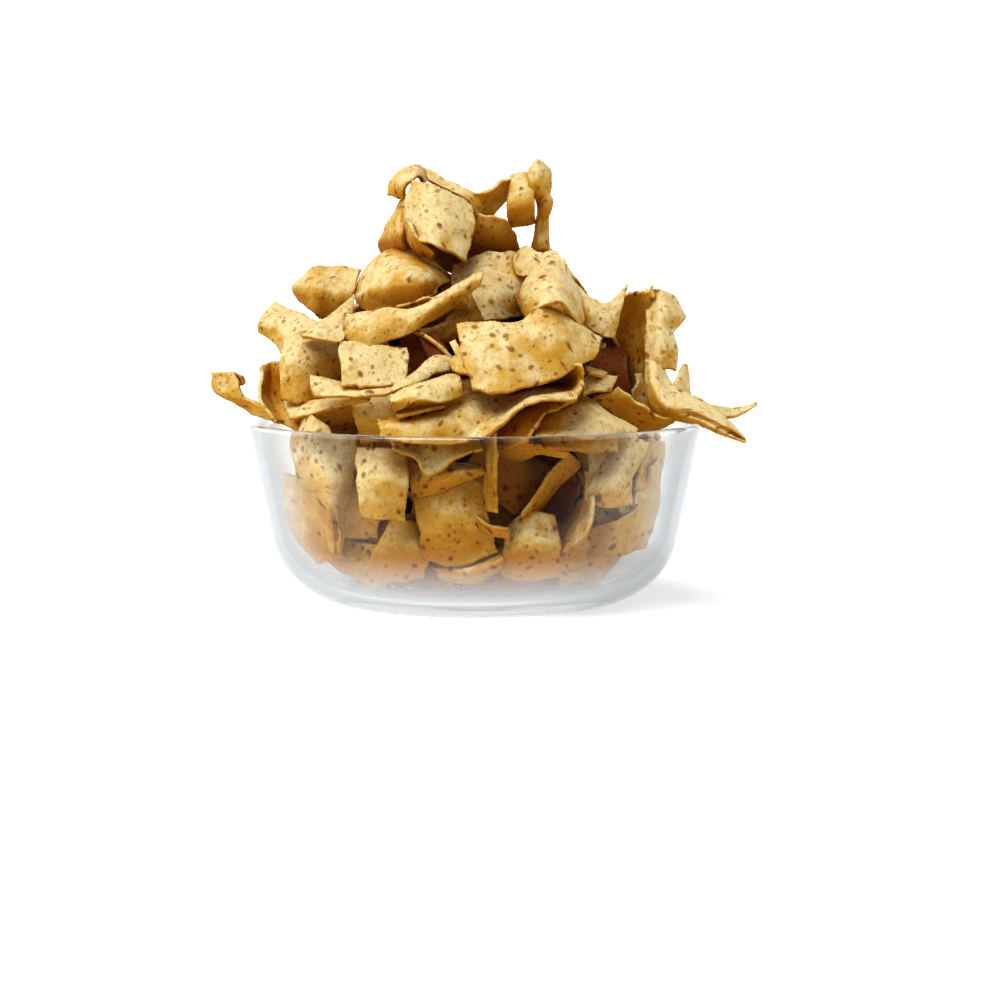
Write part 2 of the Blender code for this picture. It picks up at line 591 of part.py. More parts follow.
    lay("rim_left",
        [(7.5, 56, -52), (7.5, 51, -46)],
        [(15, 55, -58), (15, 49.3, -46)],
        [(23, 54.8, -59), (24, 52.2, -54)],
        [(33.3, 52.9, -56), (31.5, 51.2, -54)])
    lay("rim_bar",
        [(24, 56.5, -58), (25.5, 54, -60)],
        [(36, 58, -56), (36, 52.8, -58)],
        [(50.7, 57.7, -48), (50.3, 52.8, -50)])

    # Behind the top.
    lay("crown_left",
        [(-29, 132, 6), (-22, 137, 12)],
        [(-30, 122, 10), (-18, 124, 24)],
        [(-30, 112, 16), (-12, 112, 32)])
    lay("crown_middle",
        [(-23, 142, 4), (-12, 145, 10), (-3, 139, 6)],
        [(-24, 130, 8), (-12, 130, 18), (0, 128, 12)],
        [(-22, 118, 14), (-8, 116, 24), (4, 118, 16)])
    lay("crown_right",
        [(0, 131, 8), (6, 132.5, 7), (11, 131, 4)],
        [(-2, 122, 16), (6, 121, 18), (14, 121, 8)],
        [(0, 112, 22), (8, 110, 26), (18, 112, 14)])

    # In the gaps of the front, deep in the heap.
    lay("gap_top",
        [(-8, 124, -12), (2, 125, -8)],
        [(-6, 112, -6), (6, 112, -4)])
    lay("gap_left",
        [(-27, 95, -33), (-12, 93, -35)],
        [(-25, 84, -36), (-10, 83, -38)],
        [(-24, 72, -30), (-8, 70, -32)])
    lay("gap_twist",
        [(-20, 93, -40), (-14, 95.5, -38)],
        [(-16, 84, -44), (-9, 88, -42)])
    lay("gap_rim",
        [(-44, 76, -34), (-24, 77, -36)],
        [(-43, 66, -42), (-24, 66, -48)],
        [(-40, 56, -38), (-24, 56, -46)])
    lay("gap_right",
        [(40, 88, -28), (52, 90, -18)],
        [(40, 76, -32), (54, 76, -24)],
        [(42, 64, -30), (58, 62, -22)])
    lay("gap_glass",
        [(9, 52, -34), (20, 55, -36), (34, 52, -30)],
        [(8, 42, -30), (22, 42, -34), (36, 40, -30)],
        [(12, 30, -32), (22, 29, -38), (34, 28, -34)])
    lay("gap_glass_left",
        [(-24, 52, -38), (-14, 50, -40), (-2, 52, -38)],
        [(-26, 38, -42), (-14, 38, -44), (0, 38, -42)])
    lay("behind_left",
        [(-53, 58, -28), (-36, 58, -34)],
        [(-53, 38, -32), (-34, 38, -38)],
        [(-48, 22, -30), (-34, 22, -36)])
    lay("behind_right",
        [(38, 60, -26), (60, 58, -14)],
        [(38, 44, -28), (61, 42, -16)],
        [(40, 28, -28), (57, 30, -18)])
    lay("behind_low",
        [(28, 32, -32), (52, 34, -22)],
        [(28, 20, -38), (52, 20, -28)],
        [(28, 9, -34), (45, 11, -26)])
    return laid


def curled(centre, ahead, width, lean, cup):
    """A row of three points across a crisp that faces -y, leant about its length and cupped."""
    side = np.array([-ahead[2], 0, ahead[0]])
    across = math.cos(lean) * side + math.sin(lean) * np.array([0, -1, 0])
    outward = np.cross(ahead, across)
    return [centre - across * width / 2, centre + outward * width * cup / 4, centre + across * width / 2]


def ring_crisps():
    """Crisps of the same kind round the sides and the back, drawn from one seed."""
    draw = random.Random(RING_SEED)
    laid = {}
    for height, count, free_angle in RINGS:
        for place in range(count):
            turn = 360 * (place + draw.uniform(-0.2, 0.2)) / count + height * 2.4
            turn = (turn + 180) % 360 - 180
            heading = math.radians(draw.uniform(-80, 80))
            half = draw.uniform(15, 22)
            widths = [draw.uniform(14, 25) for _ in range(3)]
            leans = [math.radians(draw.uniform(-60, 60))]
            leans += [leans[0] + math.radians(draw.uniform(-40, 40)) for _ in range(2)]
            cup = draw.uniform(-0.5, 0.9)
            bulge = draw.uniform(-3, 9)
            proud = draw.uniform(0, RING_PROUD)
            if height < LYING_BELOW:
                heading *= 0.3
                leans = [0.3 * lean for lean in leans]
            if abs(turn) < free_angle:
                continue
            if abs(turn) < SIDE_ANGLE:
                proud = 0
            ahead = unit(np.array([math.cos(heading), 0, 0.7 * math.sin(heading)]))
            net = []
            for step, width, lean in zip((-1, 0, 1), widths, leans):
                x = step * half * math.cos(heading)
                z = height + step * half * 0.7 * math.sin(heading)
                reach = np.interp(z, HEAP_HEIGHTS, HEAP_REACHES) - 4 + proud / 2
                back = math.sqrt(max(reach ** 2 - x ** 2, 0.3 * reach ** 2))
                centre = np.array([x, -back - bulge * (step == 0), z])
                net.append(curled(centre, ahead, width, lean, cup))
            grid = sheet(net)
            angle = math.radians(turn)
            reach = np.interp(grid[..., 2], HEAP_HEIGHTS, HEAP_REACHES) + proud
            shrink = np.minimum(1, reach / np.hypot(grid[..., 0], grid[..., 1]))
            x, y = grid[..., 0] * shrink, grid[..., 1] * shrink
            grid[..., 0] = x * math.cos(angle) - y * math.sin(angle)
            grid[..., 1] = x * math.sin(angle) + y * math.cos(angle)
            laid[f"ring_{height}_{place}"] = grid
    return laid


def core_reach(angle, height, points):
    """How far out the core comes: just behind most of the crisps near this place."""
    x, y, z = points.T
    radius = np.hypot(x, y)
    turn = np.arctan2(y, x) - angle
    turn = np.arctan2(np.sin(turn), np.cos(turn))
    weight = np.exp(-((z - height) / CORE_WINDOW) ** 2 - (turn * radius / CORE_WINDOW) ** 2)
    order = np.argsort(radius)
    share = np.cumsum(weight[order]) / weight.sum()
    return min(radius[order][np.searchsorted(share, CORE_SHARE)], free_radius(height) - CORE_AIR)


def make_core(points):
    """The uneven body inside the heap that the crisps lie against."""
    bm = bmesh.new()
    rings = []
    for level, height in enumerate(CORE_HEIGHTS):
        ring = []
        for side in range(CORE_SIDES):
            angle = 2 * math.pi * (side + 0.5 * (level % 2)) / CORE_SIDES
            radius = core_reach(angle, height, points)
            ring.append(bm.verts.new((radius * math.cos(angle) * MM, radius * math.sin(angle) * MM,
                                      height * MM)))
        rings.append(ring)
    for lower, upper in zip(rings, rings[1:]):
        for a in range(CORE_SIDES):
            b = (a + 1) % CORE_SIDES
            bm.faces.new((lower[a], lower[b], upper[b], upper[a]))
    bm.faces.new(rings[0][::-1])
    bm.faces.new(rings[-1])
    return add_object("crisps", bm, bpy.context.scene.collection)


def shells(bm):
    """The connected parts of a mesh, each as a list of faces."""
    left = set(bm.faces)
    found = []
    while left:
        part = [left.pop()]
        for face in part:
            for edge in face.edges:
                for other in edge.link_faces:
                    if other in left:
                        left.remove(other)
                        part.append(other)
        found.append(part)
    return found


def shell_volume(faces):
    """Signed volume inside a list of triangles."""
    return sum(f.verts[0].co.dot(f.verts[1].co.cross(f.verts[2].co)) for f in faces) / 6


def keep_main_shell(mesh):
    """Fill the hollows that joining sealed, and drop loose scraps."""
    bm = bmesh.new()
    bm.from_mesh(mesh)
    bmesh.ops.triangulate(bm, faces=bm.faces[:])
    parts = sorted(shells(bm), key=shell_volume)
    spare = [face for part in parts[:-1] for face in part]
    bmesh.ops.delete(bm, geom=spare, context="FACES")
    bm.to_mesh(mesh)
    bm.free()


def make_heap():
    """Join every crisp to the core with one Boolean union."""
    pieces = bpy.data.collections.new("loose_crisps")
    bpy.context.scene.collection.children.link(pieces)
    laid = {**front_crisps(), **ring_crisps()}
    grids = {name: clear_of_glass(grid, name in OVER_RIM) for name, grid in laid.items()}
    for name, grid in grids.items():
        baked(name, grid, pieces)
    heap = make_core(np.concatenate([grid.reshape(-1, 3) for grid in grids.values()]))
    join = heap.modifiers.new("join", "BOOLEAN")
    join.operation = "UNION"
    join.operand_type = "COLLECTION"
    join.collection = pieces
    join.solver = "MANIFOLD"
    evaluated = heap.evaluated_get(bpy.context.evaluated_depsgraph_get())
    joined = bpy.data.meshes.new_from_object(evaluated)
    heap.modifiers.clear()
    heap.data = joined
    heap.data.name = "crisps"
    for piece in list(pieces.objects):
        bpy.data.objects.remove(piece)
    bpy.data.collections.remove(pieces)
    keep_main_shell(heap.data)
    heap.data.materials.clear()
    heap.data.materials.append(principled("baked_dough", (0.72, 0.44, 0.13), 0.6))
    return heap


for leftover in list(bpy.data.objects):
    bpy.data.objects.remove(leftover)
make_bowl()
make_heap()
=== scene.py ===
# %% [markdown]
# # A glass bowl heaped with crisps
#
# This lesson dresses a bowl of crisps. The real thing is a pressed glass
# bowl, 16 cm across, with a tall loose heap of curled multigrain crisps in
# it. We load the plain solids first, note how big they are, and then make
# each piece in its finished form: the glass, the crisps, the crumbs.

# %% Load the plain solids
import math
import random

import bmesh
import bpy
import numpy as np
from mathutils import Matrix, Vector


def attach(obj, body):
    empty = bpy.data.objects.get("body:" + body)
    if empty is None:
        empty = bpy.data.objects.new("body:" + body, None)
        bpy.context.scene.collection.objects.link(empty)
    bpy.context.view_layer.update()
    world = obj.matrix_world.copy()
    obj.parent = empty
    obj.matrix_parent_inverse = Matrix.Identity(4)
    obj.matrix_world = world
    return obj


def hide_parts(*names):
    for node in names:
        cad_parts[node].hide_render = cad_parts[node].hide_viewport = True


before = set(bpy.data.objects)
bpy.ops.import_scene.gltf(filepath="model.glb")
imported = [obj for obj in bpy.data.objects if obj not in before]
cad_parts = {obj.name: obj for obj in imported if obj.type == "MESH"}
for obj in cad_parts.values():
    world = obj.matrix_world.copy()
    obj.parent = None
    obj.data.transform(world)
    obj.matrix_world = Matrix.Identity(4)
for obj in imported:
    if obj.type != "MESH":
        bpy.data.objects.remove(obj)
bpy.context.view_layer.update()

MM = 0.001

# %% [markdown]
# ## Camera, light and floor
#
# The photo is a studio shot on white, taken from just above the rim with a
# long lens. The camera could be found by trial, but three sizes settle it:
# the rim is 160 mm across, its ellipse shows how far down the camera looks,
# and the spread of the crisps gives the distance. A long lens far away keeps
# the heap from bulging towards us.

# %% Set up the camera
CAMERA_PLACE = Vector((8.8, -900.0, 127.0)) * MM
LOOK_DOWN = math.radians(5.8)
SENSOR = 36.0
PHOTO_WIDTH = 1000
FOCAL_PIXELS = 2552.0

camera_data = bpy.data.cameras.new("camera")
camera_data.sensor_width = SENSOR
camera_data.lens = FOCAL_PIXELS * SENSOR / PHOTO_WIDTH
camera_data.dof.use_dof = False
camera = bpy.data.objects.new("camera", camera_data)
camera.location = CAMERA_PLACE
camera.rotation_euler = (math.pi / 2 - LOOK_DOWN, 0, 0)
bpy.context.scene.collection.objects.link(camera)
bpy.context.scene.camera = camera
print("lens in mm:", round(camera_data.lens, 1))

# %% [markdown]
# Every material and light here is a small graph of nodes. One helper adds a
# node with its settings and inputs, a few more stand for the nodes that come
# up most, and one turns the hex colours that we read off the photo into the
# linear values that the renderer works in.

# %% Helpers for nodes and colours
def linear(hex_colour):
    """An sRGB hex colour as linear red, green, blue and alpha."""
    shares = [int(hex_colour[i:i + 2], 16) / 255 for i in (1, 3, 5)]
    bent = [s / 12.92 if s <= 0.04045 else ((s + 0.055) / 1.055) ** 2.4 for s in shares]
    return (*bent, 1.0)


def add_node(tree, kind, inputs=None, **settings):
    """Add a node with its settings. An input is a value, or another node's output to link."""
    node = tree.nodes.new(kind)
    for name, value in settings.items():
        setattr(node, name, value)
    for socket, value in (inputs or {}).items():
        if isinstance(value, bpy.types.NodeSocket):
            tree.links.new(value, node.inputs[socket])
        else:
            node.inputs[socket].default_value = value
    return node


def combine(tree, operation, first, second):
    """Arithmetic on two numbers, or numbers that other nodes put out."""
    return add_node(tree, "ShaderNodeMath", {0: first, 1: second}, operation=operation).outputs[0]


def combine_vectors(tree, operation, first, second):
    """Arithmetic on two vectors, or on a vector and the number that scales it."""
    inputs = {0: first, "Scale" if operation == "SCALE" else 1: second}
    return add_node(tree, "ShaderNodeVectorMath", inputs, operation=operation).outputs[0]


def band(tree, value, low, high, bottom=0.0, top=1.0, course="SMOOTHSTEP"):
    """A value mapped from low..high to bottom..top, and held level outside."""
    inputs = {"Value": value, "From Min": low, "From Max": high, "To Min": bottom, "To Max": top}
    return add_node(tree, "ShaderNodeMapRange", inputs, interpolation_type=course).outputs["Result"]


def blend_colours(tree, share, under, over, kind="MIX"):
    """Mix two colours; each is a hex string or another node's output."""
    under, over = (linear(colour) if isinstance(colour, str) else colour for colour in (under, over))
    inputs = {"Factor": share, 6: under, 7: over}
    return add_node(tree, "ShaderNodeMix", inputs, data_type="RGBA", blend_type=kind).outputs[2]


def new_material(name):
    """A material with a bare tree: its Principled BSDF is already joined to the output."""
    material = bpy.data.materials.new(name)
    material.use_nodes = True
    return material, material.node_tree, material.node_tree.nodes["Principled BSDF"]


# %% [markdown]
# The floor is a plain white sheet of paper, large enough that its far edge
# is lost in the white behind it. The main light is a big soft lamp overhead,
# a little to the left and the front: upturned crisps shine, upright ones are
# gold, and the gaps between them stay deep. It is a sun lamp, because that
# lights the whole floor alike. The room is white, with brighter walls at the
# sides that gleam in the glass, and matt surfaces get only a little of its
# light. The paper glows faintly, which keeps it white. What the glass mirrors
# of the paper in front of the bowl is dim, as though a dark card lay there,
# so the middle of the glass stays clear. The photo's contrast is steep, and
# so is the curve that the picture is developed with.

# %% Light the studio
scene = bpy.context.scene
scene.view_settings.view_transform = "Standard"
scene.view_settings.look = "High Contrast"

world = bpy.data.worlds.new("white_studio")
world.use_nodes = True
backdrop = world.node_tree.nodes["Background"]
backdrop.inputs["Color"].default_value = (1.0, 1.0, 1.0, 1.0)
# A wall starts and ends where a look points this much at it, from 0 to 1.
ROOM_LIGHT = 0.24
FRONT_WALL = (-0.85, -0.1)
DIM_FRONT = 0.7
SIDE_WALLS = (0.45, 0.75)
SIDE_BOXES = 2.0
sky = world.node_tree
direction = add_node(sky, "ShaderNodeTexCoord").outputs["Generated"]
towards = add_node(sky, "ShaderNodeSeparateXYZ", {0: direction}).outputs
front_wall = band(sky, towards["Y"], *FRONT_WALL, DIM_FRONT, 1.0, "LINEAR")
sideways = combine(sky, "ABSOLUTE", towards["X"], 0.0)
side_walls = band(sky, sideways, *SIDE_WALLS, 1.0, SIDE_BOXES, "LINEAR")
room = combine(sky, "MULTIPLY", front_wall, side_walls)
bounces = add_node(sky, "ShaderNodeLightPath").outputs["Diffuse Depth"]
fill = add_node(sky, "ShaderNodeMix", {0: bounces, 2: room, 3: ROOM_LIGHT})
sky.links.new(fill.outputs[0], backdrop.inputs["Strength"])
scene.world = world


def add_soft_lamp(name, direction, softness, power):
    """A sun lamp that shines from a direction; softness is its angle in degrees."""
    lamp = bpy.data.lights.new(name, "SUN")
    lamp.angle = math.radians(softness)
    lamp.energy = power
    holder = bpy.data.objects.new(name, lamp)
    holder.rotation_euler = (-Vector(direction)).to_track_quat("-Z", "Y").to_euler()
    scene.collection.objects.link(holder)


add_soft_lamp("key_light", direction=(-0.35, -0.4, 1.0), softness=42, power=2.0)

FLOOR_REACH = 6000.0
FLOOR_DROP = 0.3
floor_mesh = bpy.data.meshes.new("floor")
corners = [(x * FLOOR_REACH * MM, y * FLOOR_REACH * MM, -FLOOR_DROP * MM)
           for x, y in ((-1, -1), (1, -1), (1, 1), (-1, 1))]
floor_mesh.from_pydata(corners, [], [(0, 1, 2, 3)])
floor = bpy.data.objects.new("floor", floor_mesh)
scene.collection.objects.link(floor)
paper, tree, shader = new_material("white_paper")
shader.inputs["Roughness"].default_value = 0.9
shader.inputs["Emission Color"].default_value = (1.0, 1.0, 1.0, 1.0)
GLOW = 0.35
DIM_FROM = -80.0
DIM_TO = -120.0
place = add_node(tree, "ShaderNodeNewGeometry").outputs["Position"]
forward = add_node(tree, "ShaderNodeSeparateXYZ", {0: place}).outputs["Y"]
mirrors = add_node(tree, "ShaderNodeLightPath").outputs["Glossy Depth"]
mirrored = combine(tree, "MINIMUM", mirrors, 1.0)
front = band(tree, forward, DIM_FROM * MM, DIM_TO * MM, course="LINEAR")
dimmed = combine(tree, "MULTIPLY", mirrored, front)
tree.links.new(blend_colours(tree, dimmed, "#cccccc", "#303030"), shader.inputs["Base Color"])
tree.links.new(band(tree, dimmed, 0.0, 1.0, GLOW, 0.0, "LINEAR"), shader.inputs["Emission Strength"])
floor_mesh.materials.append(paper)

# %% [markdown]
# ## The glass bowl
#
# The real bowl is pressed in a mould and fire polished, so its wall has one
# even taper, a round corner above the foot and a soft round lip. A lathe
# does it: we draw half of its section with arcs and spin it. The plain solid
# was spun in 50 flats. Glass shows every flat as a bright line, so this one
# has more than four times as many and is shaded smooth.

# %% Sizes of the bowl
RIM_RADIUS = 80.0
BOWL_HEIGHT = 64.0
WALL = 3.4
FLOOR = 5.0
TAPER = math.radians(11.6)
OUTER_CORNER = 29.0
INNER_CORNER = 25.0
BOWL_SIDES = 224
LIP_CENTRE = (RIM_RADIUS - WALL / 2, BOWL_HEIGHT - WALL / 2)


def corner_centre(corner, floor_height, side):
    """Middle of the round corner that joins a floor to the outer (1) or inner (-1) wall."""
    height = floor_height + corner
    reach = side * WALL / 2 - corner + math.sin(TAPER) * (height - LIP_CENTRE[1])
    return LIP_CENTRE[0] + reach / math.cos(TAPER), height


def arc(centre, radius, start, end, steps):
    """Points on an arc in the (radius, height) plane."""
    angles = np.linspace(start, end, steps + 1)
    return [(centre[0] + radius * math.cos(a), centre[1] + radius * math.sin(a)) for a in angles]


def free_radius(height):
    """Radius of the space inside the bowl at each height, open above the rim."""
    centre_radius, centre_height = corner_centre(INNER_CORNER, FLOOR, -1)
    slope = math.tan(TAPER)
    wall = LIP_CENTRE[0] - WALL / 2 / math.cos(TAPER) + (height - LIP_CENTRE[1]) * slope
    drop = np.clip((centre_height - height) / INNER_CORNER, 0, 1)
    corner = centre_radius + INNER_CORNER * np.sqrt(1 - drop ** 2)
    turn_height = centre_height - INNER_CORNER * math.sin(TAPER)
    return np.where(height < turn_height, corner, wall)


# %% Spin the bowl
def finished(name, mesh, material, node):
    """Put a finished mesh in the scene as a piece that stands for a plain solid."""
    piece = bpy.data.objects.new(name, mesh)
    scene.collection.objects.link(piece)
    mesh.materials.clear()
    mesh.materials.append(material)
    mesh.shade_smooth()
    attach(piece, "root")
    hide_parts(node)
    print(name, len(mesh.polygons), "faces")


DOWN = -math.pi / 2
CORNER_STEPS = 20
LIP_STEPS = 16
section = [(0.0, 0.0)]
section += arc(corner_centre(OUTER_CORNER, 0.0, 1), OUTER_CORNER, DOWN, -TAPER, CORNER_STEPS)
section += arc(LIP_CENTRE, WALL / 2, -TAPER, math.pi - TAPER, LIP_STEPS)
section += arc(corner_centre(INNER_CORNER, FLOOR, -1), INNER_CORNER, -TAPER, DOWN, CORNER_STEPS)
section.append((0.0, FLOOR))

bm = bmesh.new()
rim = [bm.verts.new((r * MM, 0, z * MM)) for r, z in section]
profile = [bm.edges.new(pair) for pair in zip(rim, rim[1:])]
bmesh.ops.spin(bm, geom=rim + profile, cent=(0, 0, 0), axis=(0, 0, 1), angle=2 * math.pi,
               steps=BOWL_SIDES, use_merge=True)
bmesh.ops.remove_doubles(bm, verts=bm.verts[:], dist=0.01 * MM)
bmesh.ops.recalc_face_normals(bm, faces=bm.faces[:])
bowl_mesh = bpy.data.meshes.new("glass_bowl")
bm.to_mesh(bowl_mesh)
bm.free()

# %% [markdown]
# The glass is soda-lime, clear with a breath of grey. A wall that bends light
# as much as real glass draws dark lines that the photo hasn't got, so this
# one bends it very little, and a coat with the real index, 1.52, gives it the
# real gleam. Seen edge on, a wall is deeper and shows its grey, with a slight
# milky veil. The thick foot is milky too, where the mould left it dull. A
# slow wave in the surface stands for the unevenness of pressed glass.

# %% Pressed glass
MILKY_UNDER = 3.0
CLEAR_OVER = 24.0
MILK = 0.4
# The grey and the veil set in as a wall is seen more edge on, from 0 to 1.
GREYING = (0.25, 0.95)
VEILING = (0.35, 0.8)
VEIL = 0.45
glass, tree, shader = new_material("soda_lime_glass_pressed")
edge_on = add_node(tree, "ShaderNodeLayerWeight", {"Blend": 0.5}).outputs["Facing"]
tinge = blend_colours(tree, band(tree, edge_on, *GREYING), "#fdfefe", "#aab2b7")
tree.links.new(tinge, shader.inputs["Base Color"])
shader.inputs["Roughness"].default_value = 0.02
shader.inputs["IOR"].default_value = 1.06
shader.inputs["Coat Weight"].default_value = 1.0
shader.inputs["Coat IOR"].default_value = 1.52
shader.inputs["Coat Roughness"].default_value = 0.03
where = add_node(tree, "ShaderNodeTexCoord").outputs["Object"]
height = add_node(tree, "ShaderNodeSeparateXYZ", {0: where}).outputs["Z"]
clear = band(tree, height, MILKY_UNDER * MM, CLEAR_OVER * MM, 1.0 - MILK, 1.0)
veiled = band(tree, edge_on, *VEILING, 1.0, 1.0 - VEIL)
tree.links.new(combine(tree, "MULTIPLY", clear, veiled), shader.inputs["Transmission Weight"])
MOULD_WAVE = 30.0
wave = add_node(tree, "ShaderNodeTexNoise",
                {"Vector": where, "Scale": 1 / (MOULD_WAVE * MM), "Detail": 1.0})
bump = add_node(tree, "ShaderNodeBump",
                {"Height": wave.outputs["Fac"], "Strength": 0.04, "Distance": 1.0 * MM})
tree.links.new(bump.outputs["Normal"], shader.inputs["Normal"])
through = add_node(tree, "ShaderNodeBsdfTransparent", {"Color": (0.93, 0.93, 0.93, 1.0)})
lamp_ray = add_node(tree, "ShaderNodeLightPath").outputs["Is Shadow Ray"]
glazing = add_node(tree, "ShaderNodeMixShader", {0: lamp_ray, 1: shader.outputs[0], 2: through.outputs[0]})
tree.links.new(glazing.outputs[0], tree.nodes["Material Output"].inputs["Surface"])
finished("glass_bowl", bowl_mesh, glass, "bowl")

# %% [markdown]
# ## The crisps
#
# A real crisp starts as a flat square or strip of dough, under 2 mm thick,
# cut by a blade, and it twists and curls as it bakes. So each one here is a
# smooth surface through a few rows of points: its corners, and as many points
# between them as say how it bulges. They are read off the photo as x and z in
# mm, and the third number says how far the point lies behind (or, below
# nought, in front of) the bowl's middle. A helper slides each point along the
# line of sight, so that it still shows where the photo shows it.

# %% The shape of one crisp
# In mm: the dough's thickness, the air between a crisp and the glass, a little
# more for ripples, how far cut edges wander, and the squares of the grid.
DOUGH = 1.35
AIR = 0.5
RIPPLE_ROOM = 0.3
TORN = 0.5
SQUARE = 1.7
VIEWPOINT = np.array(CAMERA_PLACE) / MM


def unit(vectors):
    """Vectors of length one."""
    return vectors / np.linalg.norm(vectors, axis=-1, keepdims=True)


def along_curve(values, shares):
    """Read a smooth curve through evenly spaced values; it runs on straight past its ends."""
    v = np.atleast_2d(np.asarray(values, float).T).T
    if len(v) == 1:
        return np.repeat(v, len(shares), 0)
    v = np.vstack([2 * v[0] - v[1], v, 2 * v[-1] - v[-2]])
    place = np.asarray(shares) * (len(v) - 3)
    span = np.clip(np.floor(place).astype(int), 0, len(v) - 4)
    within = np.clip(place - span, 0, 1)[:, None]
    beyond = (place - span)[:, None] - within
    a, b, c, d = v[span], v[span + 1], v[span + 2], v[span + 3]
    first = c - a
    second = 2 * a - 5 * b + 4 * c - d
    third = 3 * b - a - 3 * c + d
    value = 0.5 * (2 * b + first * within + second * within ** 2 + third * within ** 3)
    slope = 0.5 * (first + 2 * second * within + 3 * third * within ** 2)
    return value + slope * beyond


def seen_at(x, z, depth):
    """The point at this depth (y) that shows at (x, z) from the viewpoint."""
    shown = np.array([x, 0.0, z])
    return shown + (VIEWPOINT - shown) * (depth / VIEWPOINT[1])


def wander(draw, count):
    """A smooth random line with values from about -1 to 1."""
    knots = [draw.uniform(-1, 1) for _ in range(count)]
    return lambda shares: along_curve(knots, np.clip(shares, 0, 1))[:, 0]


# %% A crisp as a surface through a few points
def sheet(net, seed, cell=SQUARE):
    """Grid of points in the middle of a crisp's dough: a smooth surface through a net of points.

    The net's rows run across the crisp. Its cut edges wander by TORN mm, and
    cell is the size of the grid's squares.
    """
    draw = random.Random(seed)
    net = np.asarray(net, float)
    length = np.linalg.norm(np.diff(net, axis=0), axis=2).sum(0).max()
    width = np.linalg.norm(np.diff(net, axis=1), axis=2).sum(1).max()
    down = np.linspace(0, 1, max(6, round(length / cell)) + 1)
    sides = np.linspace(0, 1, max(3, round(width / cell)) + 1)
    ends = [wander(draw, max(3, round(width / 3))) for _ in range(2)]
    edges = [wander(draw, max(4, round(length / 3))) for _ in range(2)]
    grid = np.zeros((len(down), len(sides), 3))
    for column, side in enumerate(sides):
        start, end = (line(np.array([side]))[0] * TORN / length for line in ends)
        shares = down + start * (1 - down) ** 2 + end * down ** 2
        lines = np.stack([along_curve(net[:, k], shares) for k in range(net.shape[1])], 1)
        shift = edges[0](down) * (1 - side) ** 3 + edges[1](down) * side ** 3
        places = side + shift * TORN / width
        grid[:, column] = [along_curve(line, [place])[0] for line, place in zip(lines, places)]
    return grid


def clear_of_glass(grid, over_rim=False):
    """Keep a strip off the bowl.

    Points that would touch the wall move in towards the axis, or, on a crisp
    that lies over the rim, up above the lip.
    """
    grid = grid.copy()
    room = AIR + DOUGH / 2
    grid[..., 2] = np.maximum(grid[..., 2], FLOOR + room)
    radius = np.hypot(grid[..., 0], grid[..., 1])
    limit = free_radius(grid[..., 2]) - room - RIPPLE_ROOM
    above = grid[..., 2] >= BOWL_HEIGHT + room
    crosses = ~above & (radius > limit)
    if over_rim:
        over_wall = crosses & (radius < RIM_RADIUS + WALL)
        grid[..., 2] = np.where(over_wall, BOWL_HEIGHT + room, grid[..., 2])
    else:
        scale = np.where(crosses, limit / np.maximum(radius, 1), 1)
        grid[..., :2] *= scale[..., None]
    return grid


# %% [markdown]
# These are the crisps that show from the front, from the top of the heap to
# the bowl's floor, three that stand behind the top, and a few deep in the
# gaps. Each call is one crisp, and each of its lines is one row of points
# across it. They are laid one by one, because the front has to be the
# heap in the photo and not just one like it.

# %% Crisps of the front
laid = {}
OVER_RIM = ("hook_left", "swoop", "horn")


def lay(name, *rows):
    """Lay one crisp where the photo shows it, through rows of points (x, z, depth)."""
    net = [[seen_at(*point) for point in row] for row in rows]
    laid[name] = clear_of_glass(sheet(net, seed=len(laid)), name in OVER_RIM)


# Top of the heap.
lay("diamond",
    [(-22, 148.5, -9), (-12, 145.3, -12), (-0.8, 139.8, -8)],
    [(-25, 138, -13), (-13, 133.5, -20), (-0.6, 130, -14)],
    [(-21.5, 127.5, -19), (-13, 124.5, -24), (-3.5, 119.8, -20)])
lay("flank",
    [(-25, 139, -13), (-25.8, 133, -8)],
    [(-20.5, 129, -20), (-22.5, 125, -12)],
    [(-14.5, 122, -21), (-15, 119.5, -12)])
lay("hook",
    [(-30.3, 142.3, -2), (-24.5, 142, -6)],
    [(-29.8, 147.5, -1), (-24, 146, -10)],
    [(-25.5, 152, 0), (-21.5, 148.5, -10)],
    [(-20, 153, 2), (-19.5, 149.5, -6)],
    [(-16.8, 149.5, 4), (-18, 146.3, -2)])
lay("saddle",
    [(-17.2, 152, -3), (-17, 150, -5), (-16.5, 148, -6)],
    [(-9, 147.2, -4), (-9, 145.8, -6), (-9.5, 144.2, -8)],
    [(-2, 143.7, -4), (-2, 142.3, -7), (-2.5, 140.5, -8)],
    [(4, 144.2, -8), (4.5, 139.5, -4), (2.5, 132.5, -5)],
    [(9.5, 148, -6), (9.5, 143.5, -2), (8.5, 138.2, -3)],
    [(13.7, 148.3, -2), (13.6, 146, 0), (12.8, 143.3, 0)])
lay("fold",
    [(12.8, 149.2, 0), (16, 150, -3), (19.8, 150.3, -3)],
    [(11.8, 143, -5), (16, 143.5, -9), (20.8, 144, -8)],
    [(11.8, 137, -7), (16, 138, -10), (20.5, 138.5, -8)],
    [(12.5, 132.2, 0), (16.5, 133, -1), (20.8, 133.8, 0)])
lay("strand",
    [(18.5, 151.5, -7), (22, 155.8, -6), (25.3, 152.5, -3)],
    [(19, 147, -8), (22.7, 149.5, -9), (26.4, 148.5, -4)],
    [(20.5, 143.3, -7), (23.6, 143.5, -8), (26.6, 143.3, -3)],
    [(22.2, 138.5, -2), (24.6, 139.5, -6), (27.4, 139.5, -3)],
    [(21.8, 132, -1), (23.6, 132, -5), (25.4, 133, -2)],
    [(20, 124.3, -1), (23, 123.2, -5), (25.9, 122.2, -2)])
